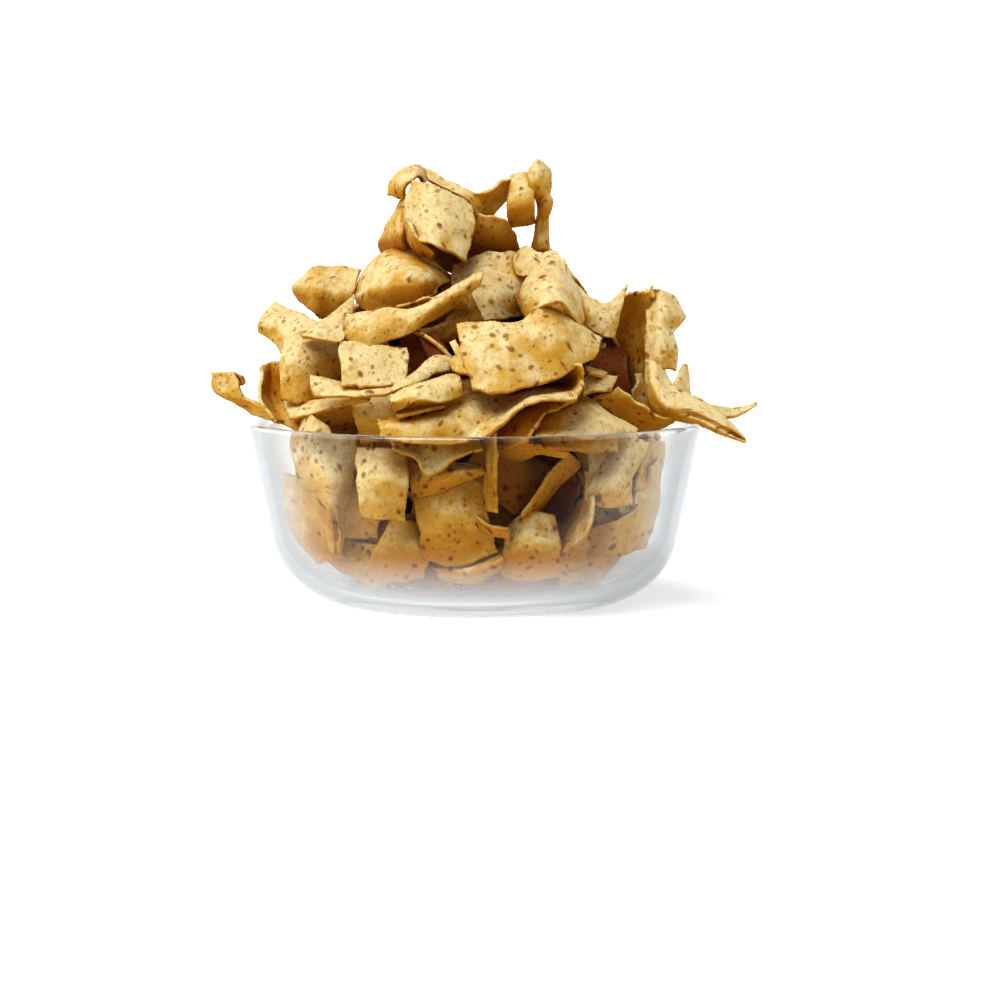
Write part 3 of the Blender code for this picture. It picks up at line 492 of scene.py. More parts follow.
lay("left_arch",
    [(-26, 141.5, -2), (-22, 143, -10)],
    [(-31.3, 132.5, 0), (-24, 134, -12)],
    [(-33.6, 126, 2), (-25, 127.5, -11)],
    [(-32.8, 120.5, 8), (-22, 121, 2)])
lay("shade_square",
    [(-1, 137, -5), (5, 136, -7), (10.8, 134.8, -6)],
    [(-1, 128, -3), (6, 128.5, -4), (14.3, 129.3, -2)],
    [(-2, 119, 2), (7, 120, 3), (16.5, 123.3, 3)])

# Upper middle.
lay("dome",
    [(-42.3, 109, -9), (-42, 107, -14), (-41, 104.2, -14)],
    [(-36, 119.8, -6), (-35, 111, -24), (-35, 101.8, -22)],
    [(-26, 124.3, -4), (-25, 114.5, -31), (-27, 102.5, -27)],
    [(-16.5, 121, -2), (-16.5, 114.5, -29), (-20, 104.5, -30)],
    [(-7, 112.5, -6), (-10.5, 112, -19), (-14.5, 109.5, -27)])
lay("pale_panel",
    [(-6.8, 121.5, -6), (4, 122.5, -8), (14.5, 123, -4)],
    [(-8.3, 112, -15), (4, 111, -18), (18.5, 112, -11)],
    [(-4, 98.8, -20), (6, 98.8, -21), (19, 100.3, -13)])
lay("flap",
    [(13.5, 121, -8), (14.5, 115, -13)],
    [(17.5, 125, -8), (18, 114.5, -19)],
    [(22.5, 122.6, -14), (24, 114.5, -22)],
    [(28, 123.7, -14), (30, 114.5, -22)],
    [(31.3, 119.5, -18), (33, 112, -22)])
lay("tail",
    [(31.5, 121, -13), (29, 117, -17), (26.5, 112.5, -19)],
    [(35, 113, -21), (35, 107.5, -26), (34.5, 102, -26)],
    [(41, 106.6, -24), (41, 101.5, -29), (40.5, 96.3, -29)],
    [(47, 105, -22), (46, 99.5, -28), (45, 93.6, -30)],
    [(53.8, 112.2, -14), (51.7, 103, -22), (48.5, 92.6, -26)])
lay("roll",
    [(18.5, 99.5, -44), (17.2, 101.5, -38), (16.2, 103, -30)],
    [(20.5, 101.8, -47), (17.3, 107, -41), (16.3, 109, -32)],
    [(25, 104, -50), (21.8, 111, -44), (20.3, 115.6, -32)],
    [(30, 105.2, -50), (29, 112.5, -43), (27.5, 117.2, -32)],
    [(33.5, 101.5, -46), (34.7, 107, -38), (35, 112, -30)],
    [(36, 96, -40), (38.2, 99, -34), (39, 101.5, -26)])
lay("roll_under",
    [(20, 99, -36), (19, 107, -24)],
    [(27, 97, -30), (27, 108, -20)],
    [(34, 96, -34), (35, 104, -24)])
lay("long_twist",
    [(-45, 100.8, -30), (-46, 97.5, -33), (-46.3, 92.2, -34)],
    [(-35, 102.7, -35), (-36, 97.5, -40), (-38, 89.8, -41)],
    [(-21, 103.6, -37), (-22, 100, -41), (-25, 93.5, -42)],
    [(-11, 108.8, -37), (-11, 106, -40), (-12, 101, -38)],
    [(3, 115.6, -32), (2.8, 114.6, -34), (1.5, 111.2, -35)])
lay("dark_panel",
    [(-28, 104, -32), (-26, 92, -20)],
    [(-16, 107, -34), (-14, 92, -18)],
    [(-3, 106, -34), (-3, 90, -18)])
lay("thin_shade",
    [(-22, 96, -36), (-19, 94.5, -42)],
    [(-15.5, 91.5, -38), (-12.5, 90, -43)],
    [(-9, 87, -40), (-7.5, 85, -44)])
lay("splinter",
    [(-9.3, 91.3, -50), (-7.3, 92.5, -50)],
    [(-7, 88.5, -53), (-5, 89.7, -53)],
    [(-6, 85.5, -56), (-4.3, 86, -56)])

# Left.
lay("wide_leaf",
    [(-61.5, 113.8, -2), (-63.5, 110.5, -4), (-61.3, 107, -2)],
    [(-56, 117.7, -6), (-57, 110.5, -13), (-57, 102.4, -10)],
    [(-49, 117.9, -5), (-50, 109, -13), (-52, 99.6, -11)],
    [(-40, 116.6, -4), (-42, 110, -12), (-45, 103, -13)])
lay("left_wing",
    [(-76.3, 95.2, -4), (-75.8, 98.8, -5), (-70.5, 105.3, 0)],
    [(-70, 90.7, -12), (-68, 96.5, -14), (-61.5, 101, -8)],
    [(-67, 84, -22), (-62, 92, -29), (-53, 97.5, -26)])
lay("pale_flap",
    [(-62, 94.4, -34), (-60.5, 93.6, -36)],
    [(-53, 99.3, -30), (-54, 92.2, -39)],
    [(-47, 103.2, -26), (-47.5, 90.8, -38)],
    [(-42.6, 107.7, -22), (-43.8, 97.5, -30)])
lay("gold_panel",
    [(-66.8, 92, -27), (-60, 95.4, -28), (-48, 94, -26)],
    [(-68.6, 83, -34), (-61, 83, -37), (-47, 83, -26)],
    [(-68, 70.6, -37), (-60, 69.6, -38), (-46, 71, -24)])
lay("square",
    [(-47.8, 91.8, -51), (-36, 90.2, -51), (-23.7, 89.3, -49)],
    [(-47.7, 84, -55), (-36, 83.7, -55), (-23.7, 83.5, -53)],
    [(-46.8, 75.8, -58), (-36, 75.3, -58), (-25, 77.3, -57)])
lay("thin_left",
    [(-58.7, 79, -48), (-58.7, 76.3, -52), (-57, 72, -54)],
    [(-46, 76.6, -52), (-46, 74.6, -57), (-46, 72, -59)],
    [(-36, 75.9, -54), (-36, 74.4, -59), (-36, 72.6, -61)],
    [(-28, 76.3, -54), (-28, 75, -58), (-29, 73.4, -60)])
lay("thin_rise",
    [(-29, 76, -56), (-29, 75, -60), (-29.7, 73.6, -62)],
    [(-20, 81.9, -50), (-20, 79.5, -56), (-20, 76.8, -58)],
    [(-13.5, 86.7, -45), (-13.5, 84, -51), (-14, 80.5, -54)],
    [(-8.3, 85.3, -44), (-8.3, 83.5, -48), (-9, 81.3, -50)])
lay("rim_band",
    [(-67.5, 70.6, -32), (-67, 67.5, -36), (-65.5, 64, -38)],
    [(-58, 70.2, -37), (-57.5, 68, -42), (-58, 65.3, -44)],
    [(-47, 72.3, -42), (-47.5, 70.8, -47), (-48, 68.6, -49)],
    [(-37, 74, -46), (-37.5, 73, -50), (-38, 71.3, -52)])
lay("rim_shade",
    [(-65, 66, -36), (-52, 70, -38), (-36, 73, -40)],
    [(-62, 57, -24), (-50, 57, -20), (-34, 57, -20)])
lay("rim_chip",
    [(-63, 59.5, -40), (-60.3, 66.8, -40)],
    [(-57, 59.3, -48), (-56.5, 65.2, -46)],
    [(-50, 58.6, -50), (-51.5, 61.5, -49)])
lay("hook_left",
    [(-92.9, 80.6, -4), (-84.3, 81, -8)],
    [(-91.8, 74.3, -6), (-83.3, 76, -12)],
    [(-86, 70.7, -9), (-81.8, 72, -14)],
    [(-78, 65.7, -15), (-76, 69.6, -18)],
    [(-69, 62.8, -26), (-67, 66.3, -25)],
    [(-62, 60.5, -36), (-60, 64, -33)])
lay("hook_tip",
    [(-85.5, 81, -8), (-84.6, 78.7, -9)],
    [(-82.5, 79.6, -7), (-83, 77.7, -8)],
    [(-81, 77, -7), (-82.4, 76, -8)])
lay("ear",
    [(-75.8, 83, -12), (-71.5, 84.2, -6), (-66, 85, -16)],
    [(-76.1, 75, -24), (-72.5, 75, -10), (-65, 76, -16)],
    [(-74.8, 68.3, -32), (-71, 67, -18), (-64, 67, -20)],
    [(-70.7, 63.2, -36), (-68, 63, -28), (-64, 63, -26)])

# Centre.
lay("wing",
    [(-5.9, 97.6, -50), (-4.9, 88, -58), (-0.7, 74.6, -65)],
    [(5, 98.8, -53), (6, 88.5, -60), (8, 73, -66)],
    [(15, 98.3, -53), (17, 90.5, -59), (18, 75, -64)],
    [(24.5, 104.2, -48), (27, 93.5, -56), (28, 78, -61)],
    [(36, 97.7, -44), (36.5, 91, -49), (36, 83, -53)],
    [(44.7, 93, -38), (43.8, 90, -42), (41.5, 85.6, -45)])
lay("long_curl",
    [(-34.6, 64, -56), (-34, 61.5, -61), (-33, 57, -63)],
    [(-20, 67.6, -57), (-20, 62.5, -66), (-19, 55.5, -67)],
    [(-6, 73, -54), (-5, 65.5, -66), (-3, 56, -68)],
    [(6, 79, -48), (7, 70, -52), (8, 61.2, -71)],
    [(18, 82, -50), (18, 75, -39), (19, 70.3, -70)],
    [(29, 83, -50), (29, 77, -37), (29, 71.2, -70)],
    [(37.5, 84, -57), (37.9, 77, -57), (36, 70.6, -66)])
lay("under_arch",
    [(5.5, 59, -46), (8, 57.5, -56), (11, 54, -62)],
    [(11, 65.3, -42), (14, 62, -58), (17, 56, -66)],
    [(18, 69, -40), (19, 66.5, -57), (20.8, 60.5, -66)],
    [(26, 70.2, -40), (25, 69.5, -53), (24, 66, -62)],
    [(36, 70.6, -42), (33, 70, -50), (29.5, 67.5, -56)])
lay("front_leaf",
    [(21.3, 65, -54), (20.6, 62, -60), (21.5, 58.2, -65)],
    [(28, 70.3, -45), (29, 64.5, -57), (29, 57.2, -66)],
    [(38, 72.1, -38), (39, 65, -51), (39, 57.2, -62)],
    [(47, 66.3, -42), (48, 62.5, -50), (48, 58.2, -53)],
    [(57.3, 60, -38), (56.7, 59, -41), (55.5, 57.2, -42)])
lay("small_bar",
    [(-30.5, 72.3, -60), (-30, 70, -66), (-28.3, 66.3, -62)],
    [(-20, 76.6, -62), (-20, 73.8, -69), (-20, 70.7, -70)],
    [(-12.5, 79, -60), (-12.3, 75, -68), (-12.5, 69.6, -70)],
    [(-5.6, 80.1, -58), (-5, 76.5, -64), (-4.8, 72.7, -64)])
lay("bar_shade",
    [(-29.3, 69, -58), (-28.3, 65.4, -64)],
    [(-20, 71.5, -56), (-19, 67, -65)],
    [(-12, 70.5, -58), (-11, 68.7, -64)])
lay("chip",
    [(-9, 84.6, -53), (-7.6, 81.2, -57)],
    [(-5, 87.5, -54), (-5.5, 80.2, -61)],
    [(-2, 86, -58), (-1.5, 79.5, -63)])

# Right.
lay("tall_inner",
    [(51.3, 107.8, -10), (56, 109.3, -12), (61.5, 108.8, -16)],
    [(48.5, 96, -4), (55, 97, -4), (61.5, 97, -13)],
    [(44.5, 84, 2), (53, 84, 3), (61.5, 83, -12)],
    [(45, 72, 0), (54, 72, 3), (63.5, 72, -15)],
    [(50, 60.5, -10), (59, 60.5, -8), (67, 62.5, -22)])
lay("tall_lobe",
    [(60.6, 109.8, -8), (65, 109.1, -12), (70, 107, -6)],
    [(60.3, 102, -14), (67, 102.5, -18), (74.3, 99.7, -10)],
    [(60.3, 95.5, -18), (65, 95.5, -21), (69.2, 94.9, -16)],
    [(60.3, 89, -20), (65.5, 89, -23), (70.6, 88.8, -18)],
    [(60.8, 83.6, -22), (65.5, 82.3, -24), (70.3, 81.6, -20)])
lay("lobe_spike",
    [(60.8, 107, -15), (63.3, 107, -16)],
    [(61.7, 110.9, -14), (62.8, 110.9, -14)])
lay("swoop",
    [(60.8, 85, -22), (63, 84.3, -26), (65.8, 82.3, -22)],
    [(61, 74.5, -28), (64, 76, -32), (69.2, 77.2, -25)],
    [(65.3, 65.5, -32), (69, 69, -36), (75.5, 72.5, -27)],
    [(78, 62.5, -31), (80, 65, -34), (84, 68.3, -27)],
    [(88, 58.5, -30), (88.5, 61, -32), (89, 64.8, -28)],
    [(95.6, 55.7, -29), (95.7, 56.8, -29), (95.2, 58, -29)])
lay("horn",
    [(62.5, 70, -24), (64, 75, -20)],
    [(74, 66, -27), (76, 72.6, -24)],
    [(84, 65.3, -24), (84, 69, -20)],
    [(91.5, 65, -19), (91.5, 67.7, -15)],
    [(99.6, 69.2, -12), (99, 70.3, -12)])
lay("fin",
    [(68.5, 73.5, -30), (75, 69.5, -28)],
    [(70.3, 76.8, -25), (76, 73, -22)],
    [(72.1, 80.5, -21), (75.5, 78, -18)],
    [(73.6, 84, -17), (74.9, 83.3, -17)])
lay("dark_cup",
    [(42, 71.5, -36), (51, 76, -36)],
    [(52, 64, -28), (58, 70, -36)],
    [(62, 60.8, -24), (66, 64.5, -34)],
    [(70.5, 63.3, -30), (71.5, 65, -33)])
lay("shard",
    [(38, 78, -40), (38, 72.5, -46)],
    [(44, 80, -38), (43, 74, -44)],
    [(50, 79, -34), (48.5, 74, -38)])
lay("shard_edge",
    [(38.5, 83, -42), (39, 80.8, -46)],
    [(46, 80, -38), (45.5, 78.6, -42)])

# Behind the glass.
lay("glass_kite",
    [(-65, 58.5, -26), (-54, 58.5, -38), (-42, 57.5, -38)],
    [(-63.3, 48, -32), (-53, 46, -46), (-42.3, 47, -40)],
    [(-57.5, 36, -38), (-51, 34, -49), (-45.3, 37, -40)],
    [(-52.7, 25, -41), (-49, 25, -46), (-46.6, 25, -40)],
    [(-50.7, 17, -40), (-49, 16.5, -43), (-47.3, 17, -40)])
lay("far_left",
    [(-67.5, 45, -10), (-61, 43, -22)],
    [(-67.5, 34, -12), (-56, 34, -28)],
    [(-63.5, 22, -16), (-51, 22, -34)],
    [(-55.5, 13, -22), (-46, 15, -34)])
lay("low_left",
    [(-49, 31, -22), (-40, 32, -26), (-29, 30, -34)],
    [(-49, 20, -24), (-40, 20, -28), (-31, 20, -36)],
    [(-43, 9.5, -24), (-37, 9.5, -28), (-29, 10, -34)])
lay("glass_square",
    [(-42, 54.2, -46), (-33, 54, -50), (-25, 52.4, -48)],
    [(-41.7, 42, -55), (-33, 42, -58), (-23.7, 42, -56)],
    [(-39.8, 28.8, -55), (-33, 28.2, -58), (-25, 27.6, -56)])
lay("glass_vee",
    [(-30, 59, -54), (-29.3, 53.2, -58)],
    [(-21, 59, -55), (-20.5, 50, -62)],
    [(-14, 58.5, -57), (-16, 44, -61)],
    [(-6, 57.8, -60), (-7, 50.6, -65)],
    [(2.8, 55.3, -61), (2.3, 53.5, -63)])
lay("glass_leaf",
    [(-22.4, 48, -46), (-22.8, 43, -50), (-22, 36.6, -47)],
    [(-14, 48.7, -49), (-14, 43.5, -55), (-14, 37.7, -49)],
    [(-4, 48, -53), (-4, 45.5, -58), (-4, 42.5, -52)],
    [(3.1, 47.3, -56), (3.7, 46, -57), (3.2, 44.7, -56)])
lay("glass_big",
    [(-22.3, 40, -44), (-9, 43, -48), (3, 44, -46)],
    [(-20.3, 28, -48), (-7, 28, -53), (4.3, 30, -50)],
    [(-17.5, 14.2, -44), (-5, 11.8, -48), (8.3, 17, -48)])
lay("glass_low_left",
    [(-29.7, 28.3, -42), (-25, 28.8, -44), (-19, 27.5, -42)],
    [(-36.8, 15.2, -42), (-27, 17, -46), (-16.5, 16, -44)],
    [(-40, 5, -32), (-30, 6, -37), (-18.5, 8, -40)])
lay("glass_band",
    [(-15, 13.3, -36), (-15, 10.5, -42), (-13, 6.8, -36)],
    [(-2, 14, -40), (-2, 10, -48), (-2, 5.6, -40)],
    [(6, 16.8, -42), (8, 13, -49), (5.5, 8.8, -44)],
    [(9.4, 18.8, -41), (11, 15, -45), (10.2, 11.8, -43)])
lay("glass_post",
    [(4.4, 60, -52), (7.8, 60, -63)],
    [(4, 48, -54), (7.6, 48, -64)],
    [(2.5, 38, -48), (7.4, 38, -60)],
    [(1.5, 32.5, -46), (7.3, 30.7, -58)])
lay("glass_diagonal",
    [(16, 30, -50), (20, 29.5, -40)],
    [(21.3, 37.8, -52), (26, 35.5, -40)],
    [(26.7, 45.8, -52), (32, 42, -40)],
    [(33, 52.5, -50), (37, 48, -38)])
lay("glass_centre",
    [(11, 25.6, -44), (18, 31.7, -47), (28.3, 30, -46)],
    [(9.7, 17, -48), (19, 19, -54), (30.2, 18.5, -50)],
    [(9.2, 9, -42), (19, 6.6, -46), (32, 8, -44)])
lay("glass_stem",
    [(-1.3, 32, -50), (1, 26.6, -50)],
    [(5, 27, -54), (6, 23.5, -52)],
    [(12, 25.7, -54), (12, 22.2, -52)])
lay("glass_arc",
    [(42, 37, -52), (37.5, 36, -38)],
    [(41.7, 29, -56), (34, 31, -34)],
    [(38.2, 21.3, -56), (30, 25, -34)],
    [(30.3, 15.7, -50), (27.5, 20, -34)])
lay("glass_pale",
    [(50, 58, -34), (55, 57.5, -36), (60.8, 56, -26)],
    [(45.3, 48.5, -43), (51, 47, -45), (57.2, 47, -36)],
    [(40.8, 42, -48), (48, 40, -50), (54.9, 41, -42)],
    [(38.2, 35.4, -48), (46, 32.7, -50), (55.6, 33.8, -44)])
lay("low_right",
    [(41, 25.8, -33), (38, 15.7, -33)],
    [(49, 28.3, -37), (46, 15.2, -37)],
    [(57.3, 33.8, -30), (52.7, 17.7, -33)])
lay("far_right",
    [(66, 45, -8), (57, 43, -22)],
    [(64.5, 32, -12), (55.5, 30, -28)],
    [(59.5, 18, -16), (50.5, 15.5, -30)])
lay("rim_right",
    [(67, 56, -6), (61, 57.5, -22)],
    [(66.5, 46, -8), (58.5, 46, -24)],
    [(62, 38.5, -14), (56.5, 39, -26)])
lay("rim_left",
    [(7.5, 56, -52), (7.5, 51, -46)],
    [(15, 55, -58), (15, 49.3, -46)],
    [(23, 54.8, -59), (24, 52.2, -54)],
    [(33.3, 52.9, -56), (31.5, 51.2, -54)])
lay("rim_bar",
    [(24, 56.5, -58), (25.5, 54, -60)],
    [(36, 58, -56), (36, 52.8, -58)],
    [(50.7, 57.7, -48), (50.3, 52.8, -50)])

# Behind the top.
lay("crown_left",
    [(-29, 132, 6), (-22, 137, 12)],
    [(-30, 122, 10), (-18, 124, 24)],
    [(-30, 112, 16), (-12, 112, 32)])
lay("crown_middle",
    [(-23, 142, 4), (-12, 145, 10), (-3, 139, 6)],
    [(-24, 130, 8), (-12, 130, 18), (0, 128, 12)],
    [(-22, 118, 14), (-8, 116, 24), (4, 118, 16)])
lay("crown_right",
    [(0, 131, 8), (6, 132.5, 7), (11, 131, 4)],
    [(-2, 122, 16), (6, 121, 18), (14, 121, 8)],
    [(0, 112, 22), (8, 110, 26), (18, 112, 14)])

# In the gaps of the front, deep in the heap.
lay("gap_top",
    [(-8, 124, -12), (2, 125, -8)],
    [(-6, 112, -6), (6, 112, -4)])
lay("gap_left",
    [(-27, 95, -33), (-12, 93, -35)],
    [(-25, 84, -36), (-10, 83, -38)],
    [(-24, 72, -30), (-8, 70, -32)])
lay("gap_twist",
    [(-20, 93, -40), (-14, 95.5, -38)],
    [(-16, 84, -44), (-9, 88, -42)])
lay("gap_rim",
    [(-44, 76, -34), (-24, 77, -36)],
    [(-43, 66, -42), (-24, 66, -48)],
    [(-40, 56, -38), (-24, 56, -46)])
lay("gap_right",
    [(40, 88, -28), (52, 90, -18)],
    [(40, 76, -32), (54, 76, -24)],
    [(42, 64, -30), (58, 62, -22)])
lay("gap_glass",
    [(9, 52, -34), (20, 55, -36), (34, 52, -30)],
    [(8, 42, -30), (22, 42, -34), (36, 40, -30)],
    [(12, 30, -32), (22, 29, -38), (34, 28, -34)])
lay("gap_glass_left",
    [(-24, 52, -38), (-14, 50, -40), (-2, 52, -38)],
    [(-26, 38, -42), (-14, 38, -44), (0, 38, -42)])
lay("behind_left",
    [(-53, 58, -28), (-36, 58, -34)],
    [(-53, 38, -32), (-34, 38, -38)],
    [(-48, 22, -30), (-34, 22, -36)])
lay("behind_right",
    [(38, 60, -26), (60, 58, -14)],
    [(38, 44, -28), (61, 42, -16)],
    [(40, 28, -28), (57, 30, -18)])
lay("behind_low",
    [(28, 32, -32), (52, 34, -22)],
    [(28, 20, -38), (52, 20, -28)],
    [(28, 9, -34), (45, 11, -26)])
print(len(laid), "crisps laid at the front")

# %% [markdown]
# The photo doesn't show the sides, the back or the inside of the heap. They
# are made by a rule: rings of crisps at several heights, each crisp turned,
# leant and curled by a seeded draw. One set of rings finishes the outside,
# leaving the front free, and a second set fills the heap behind the crisps
# that show, so that a look through a gap meets more crisps.

# %% Crisps of the sides, back and inside
HEAP_HEIGHTS = [7, 20, 45, 62, 72, 86, 100, 113, 126, 139, 152]
HEAP_REACHES = [44, 57, 64, 65, 63, 56, 46, 36, 27, 19, 10]
# What the draws pick between, in mm and degrees; a cup is a share of the width.
HALF_LENGTHS = (15, 22)
WIDTHS = (14, 25)
CUPS = (-0.5, 0.9)
BULGES = (-3, 9)
MOST_SLOPE = 80
MOST_LEAN = 60
MOST_TWIST = 40
SWIRL = 2.4
FLATTER = 0.7
CALMER = 0.3


def curled(centre, ahead, width, lean, cup):
    """A row of three points across a crisp that faces -y, leant about its length and cupped."""
    side = np.array([-ahead[2], 0, ahead[0]])
    across = math.cos(lean) * side + math.sin(lean) * np.array([0, -1, 0])
    outward = np.cross(ahead, across)
    return [centre - across * width / 2, centre + outward * width * cup / 4, centre + across * width / 2]


def ring(draw, prefix, height, count, free_angle, share, proud_most, cell):
    """Lay one ring of crisps round the heap, outside the front's free angle."""
    for place in range(count):
        turn = 360 * (place + draw.uniform(-0.2, 0.2)) / count + height * SWIRL
        turn = (turn + 180) % 360 - 180
        heading = math.radians(draw.uniform(-MOST_SLOPE, MOST_SLOPE))
        half = draw.uniform(*HALF_LENGTHS)
        widths = [draw.uniform(*WIDTHS) for _ in range(3)]
        leans = [math.radians(draw.uniform(-MOST_LEAN, MOST_LEAN))]
        leans += [leans[0] + math.radians(draw.uniform(-MOST_TWIST, MOST_TWIST)) for _ in range(2)]
        cup = draw.uniform(*CUPS)
        bulge = draw.uniform(*BULGES)
        proud = draw.uniform(0, proud_most)
        if height < LYING_BELOW:
            heading *= CALMER
            leans = [CALMER * lean for lean in leans]
        if abs(turn) < free_angle:
            continue
        if abs(turn) < SIDE_ANGLE:
            proud = 0
        ahead = unit(np.array([math.cos(heading), 0, FLATTER * math.sin(heading)]))
        net = []
        for step, width, lean in zip((-1, 0, 1), widths, leans):
            x = step * half * math.cos(heading)
            z = height + step * half * FLATTER * math.sin(heading)
            reach = np.interp(z, HEAP_HEIGHTS, HEAP_REACHES) * share - 4 + proud / 2
            back = math.sqrt(max(reach ** 2 - x ** 2, 0.3 * reach ** 2))
            centre = np.array([x, -back - bulge * (step == 0), z])
            net.append(curled(centre, ahead, width, lean, cup))
        grid = sheet(net, seed=len(laid), cell=cell)
        angle = math.radians(turn)
        reach = np.interp(grid[..., 2], HEAP_HEIGHTS, HEAP_REACHES) * share + proud
        shrink = np.minimum(1, reach / np.hypot(grid[..., 0], grid[..., 1]))
        x, y = grid[..., 0] * shrink, grid[..., 1] * shrink
        grid[..., 0] = x * math.cos(angle) - y * math.sin(angle)
        grid[..., 1] = x * math.sin(angle) + y * math.cos(angle)
        laid[f"{prefix}_{height}_{place}"] = clear_of_glass(grid)


RINGS = [
    (18, 7, 66), (34, 8, 66), (51, 9, 66), (68, 9, 64), (83, 8, 66),
    (99, 7, 72), (112, 5, 84),
]
RING_SEED = 11
RING_PROUD = 12.0
RING_SQUARE = 2.4
SIDE_ANGLE = 115
LYING_BELOW = 25
outside_draw = random.Random(RING_SEED)
for height, count, free_angle in RINGS:
    ring(outside_draw, "ring", height, count, free_angle, 1.0, RING_PROUD, RING_SQUARE)

INSIDE_RINGS = [(12, 6), (24, 8), (36, 8), (48, 8), (60, 8), (72, 8), (84, 7), (95, 6), (105, 4)]
INSIDE_SHARE = 0.74
INSIDE_SQUARE = 4.0
inside_draw = random.Random(RING_SEED + 1)
for height, count in INSIDE_RINGS:
    ring(inside_draw, "inside", height, count, 0, INSIDE_SHARE, 0, INSIDE_SQUARE)

# One more, where the bright floor would show under the low crisps.
lay("low_bit",
    [(30, 16, -30), (44, 17, -26)],
    [(30, 5, -27), (42.5, 6.5, -24)])
print(len(laid), "crisps in all")

# %% [markdown]
# Right in the middle of the heap no crisp can be told from the next, so a
# lumpy core of dough fills it, behind everything else, and its dark brown is
# painted deep shade.

# %% The core of the heap
CORE_HEIGHTS = [9, 20, 35, 60, 80, 98, 112]
CORE_REACHES = [22, 30, 32, 34, 28, 16, 5]
CORE_SIDES = 40
CORE_RINGS = 40
CORE_LUMPS = 7
core_draw = random.Random(RING_SEED)
lumps = [(core_draw.uniform(0, 6.3), core_draw.randint(2, 5), core_draw.uniform(0.03, 0.12))
         for _ in range(CORE_LUMPS)]
bm = bmesh.new()
core_rings = []
for height in np.linspace(CORE_HEIGHTS[0], CORE_HEIGHTS[-1], CORE_RINGS):
    reach = np.interp(height, CORE_HEIGHTS, CORE_REACHES)
    ring_points = []
    for angle in np.linspace(0, 2 * math.pi, CORE_SIDES, endpoint=False):
        swell = 1 + sum(size * math.sin(waves * angle + start + number + height / 9)
                        for number, (start, waves, size) in enumerate(lumps))
        ring_points.append(bm.verts.new((reach * swell * math.cos(angle) * MM,
                                         reach * swell * math.sin(angle) * MM, height * MM)))
    core_rings.append(ring_points)
for lower, upper in zip(core_rings, core_rings[1:]):
    for i in range(CORE_SIDES):
        j = (i + 1) % CORE_SIDES
        bm.faces.new((lower[i], lower[j], upper[j], upper[i]))
bm.faces.new(core_rings[0][::-1])
bm.faces.new(core_rings[-1])
core_mesh = bpy.data.meshes.new("heap_core")
bm.to_mesh(core_mesh)
bm.free()

# %% [markdown]
# A crisp so far is a sheet with no thickness. Geometry Nodes bake it: the
# sheet is rippled, pushed out to the dough's thickness, closed, smoothed
# once, which rounds the cut edges, and then raised in small blisters where
# steam lifted the dough. One tree does it for every crisp, and its sizes are
# named inputs, so one number changes the whole batch.

# %% The tree that bakes a sheet of dough
def add_input(tree, name, kind, value):
    """Give a Geometry Nodes tree a named input."""
    socket = tree.interface.new_socket(name, in_out="INPUT", socket_type=kind)
    if value is not None:
        socket.default_value = value


def offset_by_noise(tree, shape, size, height, seed_shift):
    """Move every point of a shape along its normal by a noise of this size and height."""
    place = add_node(tree, "GeometryNodeInputPosition").outputs[0]
    shifted = combine_vectors(tree, "ADD", place, (seed_shift, 0.0, 0.0))
    scale = combine(tree, "DIVIDE", 1.0, size)
    noise = add_node(tree, "ShaderNodeTexNoise", {"Vector": shifted, "Scale": scale, "Detail": 2.0})
    centred = combine(tree, "SUBTRACT", noise.outputs["Fac"], 0.5)
    normal = add_node(tree, "GeometryNodeInputNormal").outputs[0]
    offset = combine_vectors(tree, "SCALE", normal, combine(tree, "MULTIPLY", centred, height))
    return add_node(tree, "GeometryNodeSetPosition", {"Geometry": shape, "Offset": offset}).outputs[0]


baking = bpy.data.node_groups.new("bake_dough", "GeometryNodeTree")
add_input(baking, "Sheets", "NodeSocketGeometry", None)
add_input(baking, "Thickness", "NodeSocketFloat", 2.0 * MM)
add_input(baking, "Ripple size", "NodeSocketFloat", 14.0 * MM)
add_input(baking, "Ripple height", "NodeSocketFloat", 4.0 * MM)
add_input(baking, "Blister size", "NodeSocketFloat", 3.0 * MM)
add_input(baking, "Blister height", "NodeSocketFloat", 0.5 * MM)
add_input(baking, "Dough", "NodeSocketMaterial", None)
baking.interface.new_socket("Baked", in_out="OUTPUT", socket_type="NodeSocketGeometry")
given = add_node(baking, "NodeGroupInput").outputs
rippled = offset_by_noise(baking, given["Sheets"], given["Ripple size"], given["Ripple height"], 0.3)
half = combine(baking, "MULTIPLY", given["Thickness"], -0.5)
normal = add_node(baking, "GeometryNodeInputNormal").outputs[0]
down = combine_vectors(baking, "SCALE", normal, half)
under = add_node(baking, "GeometryNodeSetPosition", {"Geometry": rippled, "Offset": down}).outputs[0]
raised = add_node(baking, "GeometryNodeExtrudeMesh",
                  {"Mesh": under, "Offset Scale": given["Thickness"], "Individual": False}).outputs
cut = add_node(baking, "GeometryNodeStoreNamedAttribute",
               {"Geometry": raised["Mesh"], "Value": raised["Side"], "Name": "cut_edge"},
               data_type="FLOAT", domain="FACE")
turned = add_node(baking, "GeometryNodeFlipFaces", {"Mesh": under})
both = add_node(baking, "GeometryNodeJoinGeometry")
for side in (cut, turned):
    baking.links.new(side.outputs[0], both.inputs[0])
closed = add_node(baking, "GeometryNodeMergeByDistance",
                  {"Geometry": both.outputs[0], "Distance": 0.02 * MM})
sharp = add_node(baking, "GeometryNodeInputNamedAttribute", {"Name": "cut_edge"}, data_type="FLOAT")
smooth = add_node(baking, "GeometryNodeSubdivisionSurface",
                  {"Mesh": closed.outputs[0], "Edge Crease": sharp.outputs[0], "Level": 1})
puffed = offset_by_noise(baking, smooth.outputs[0], given["Blister size"], given["Blister height"], 0.7)
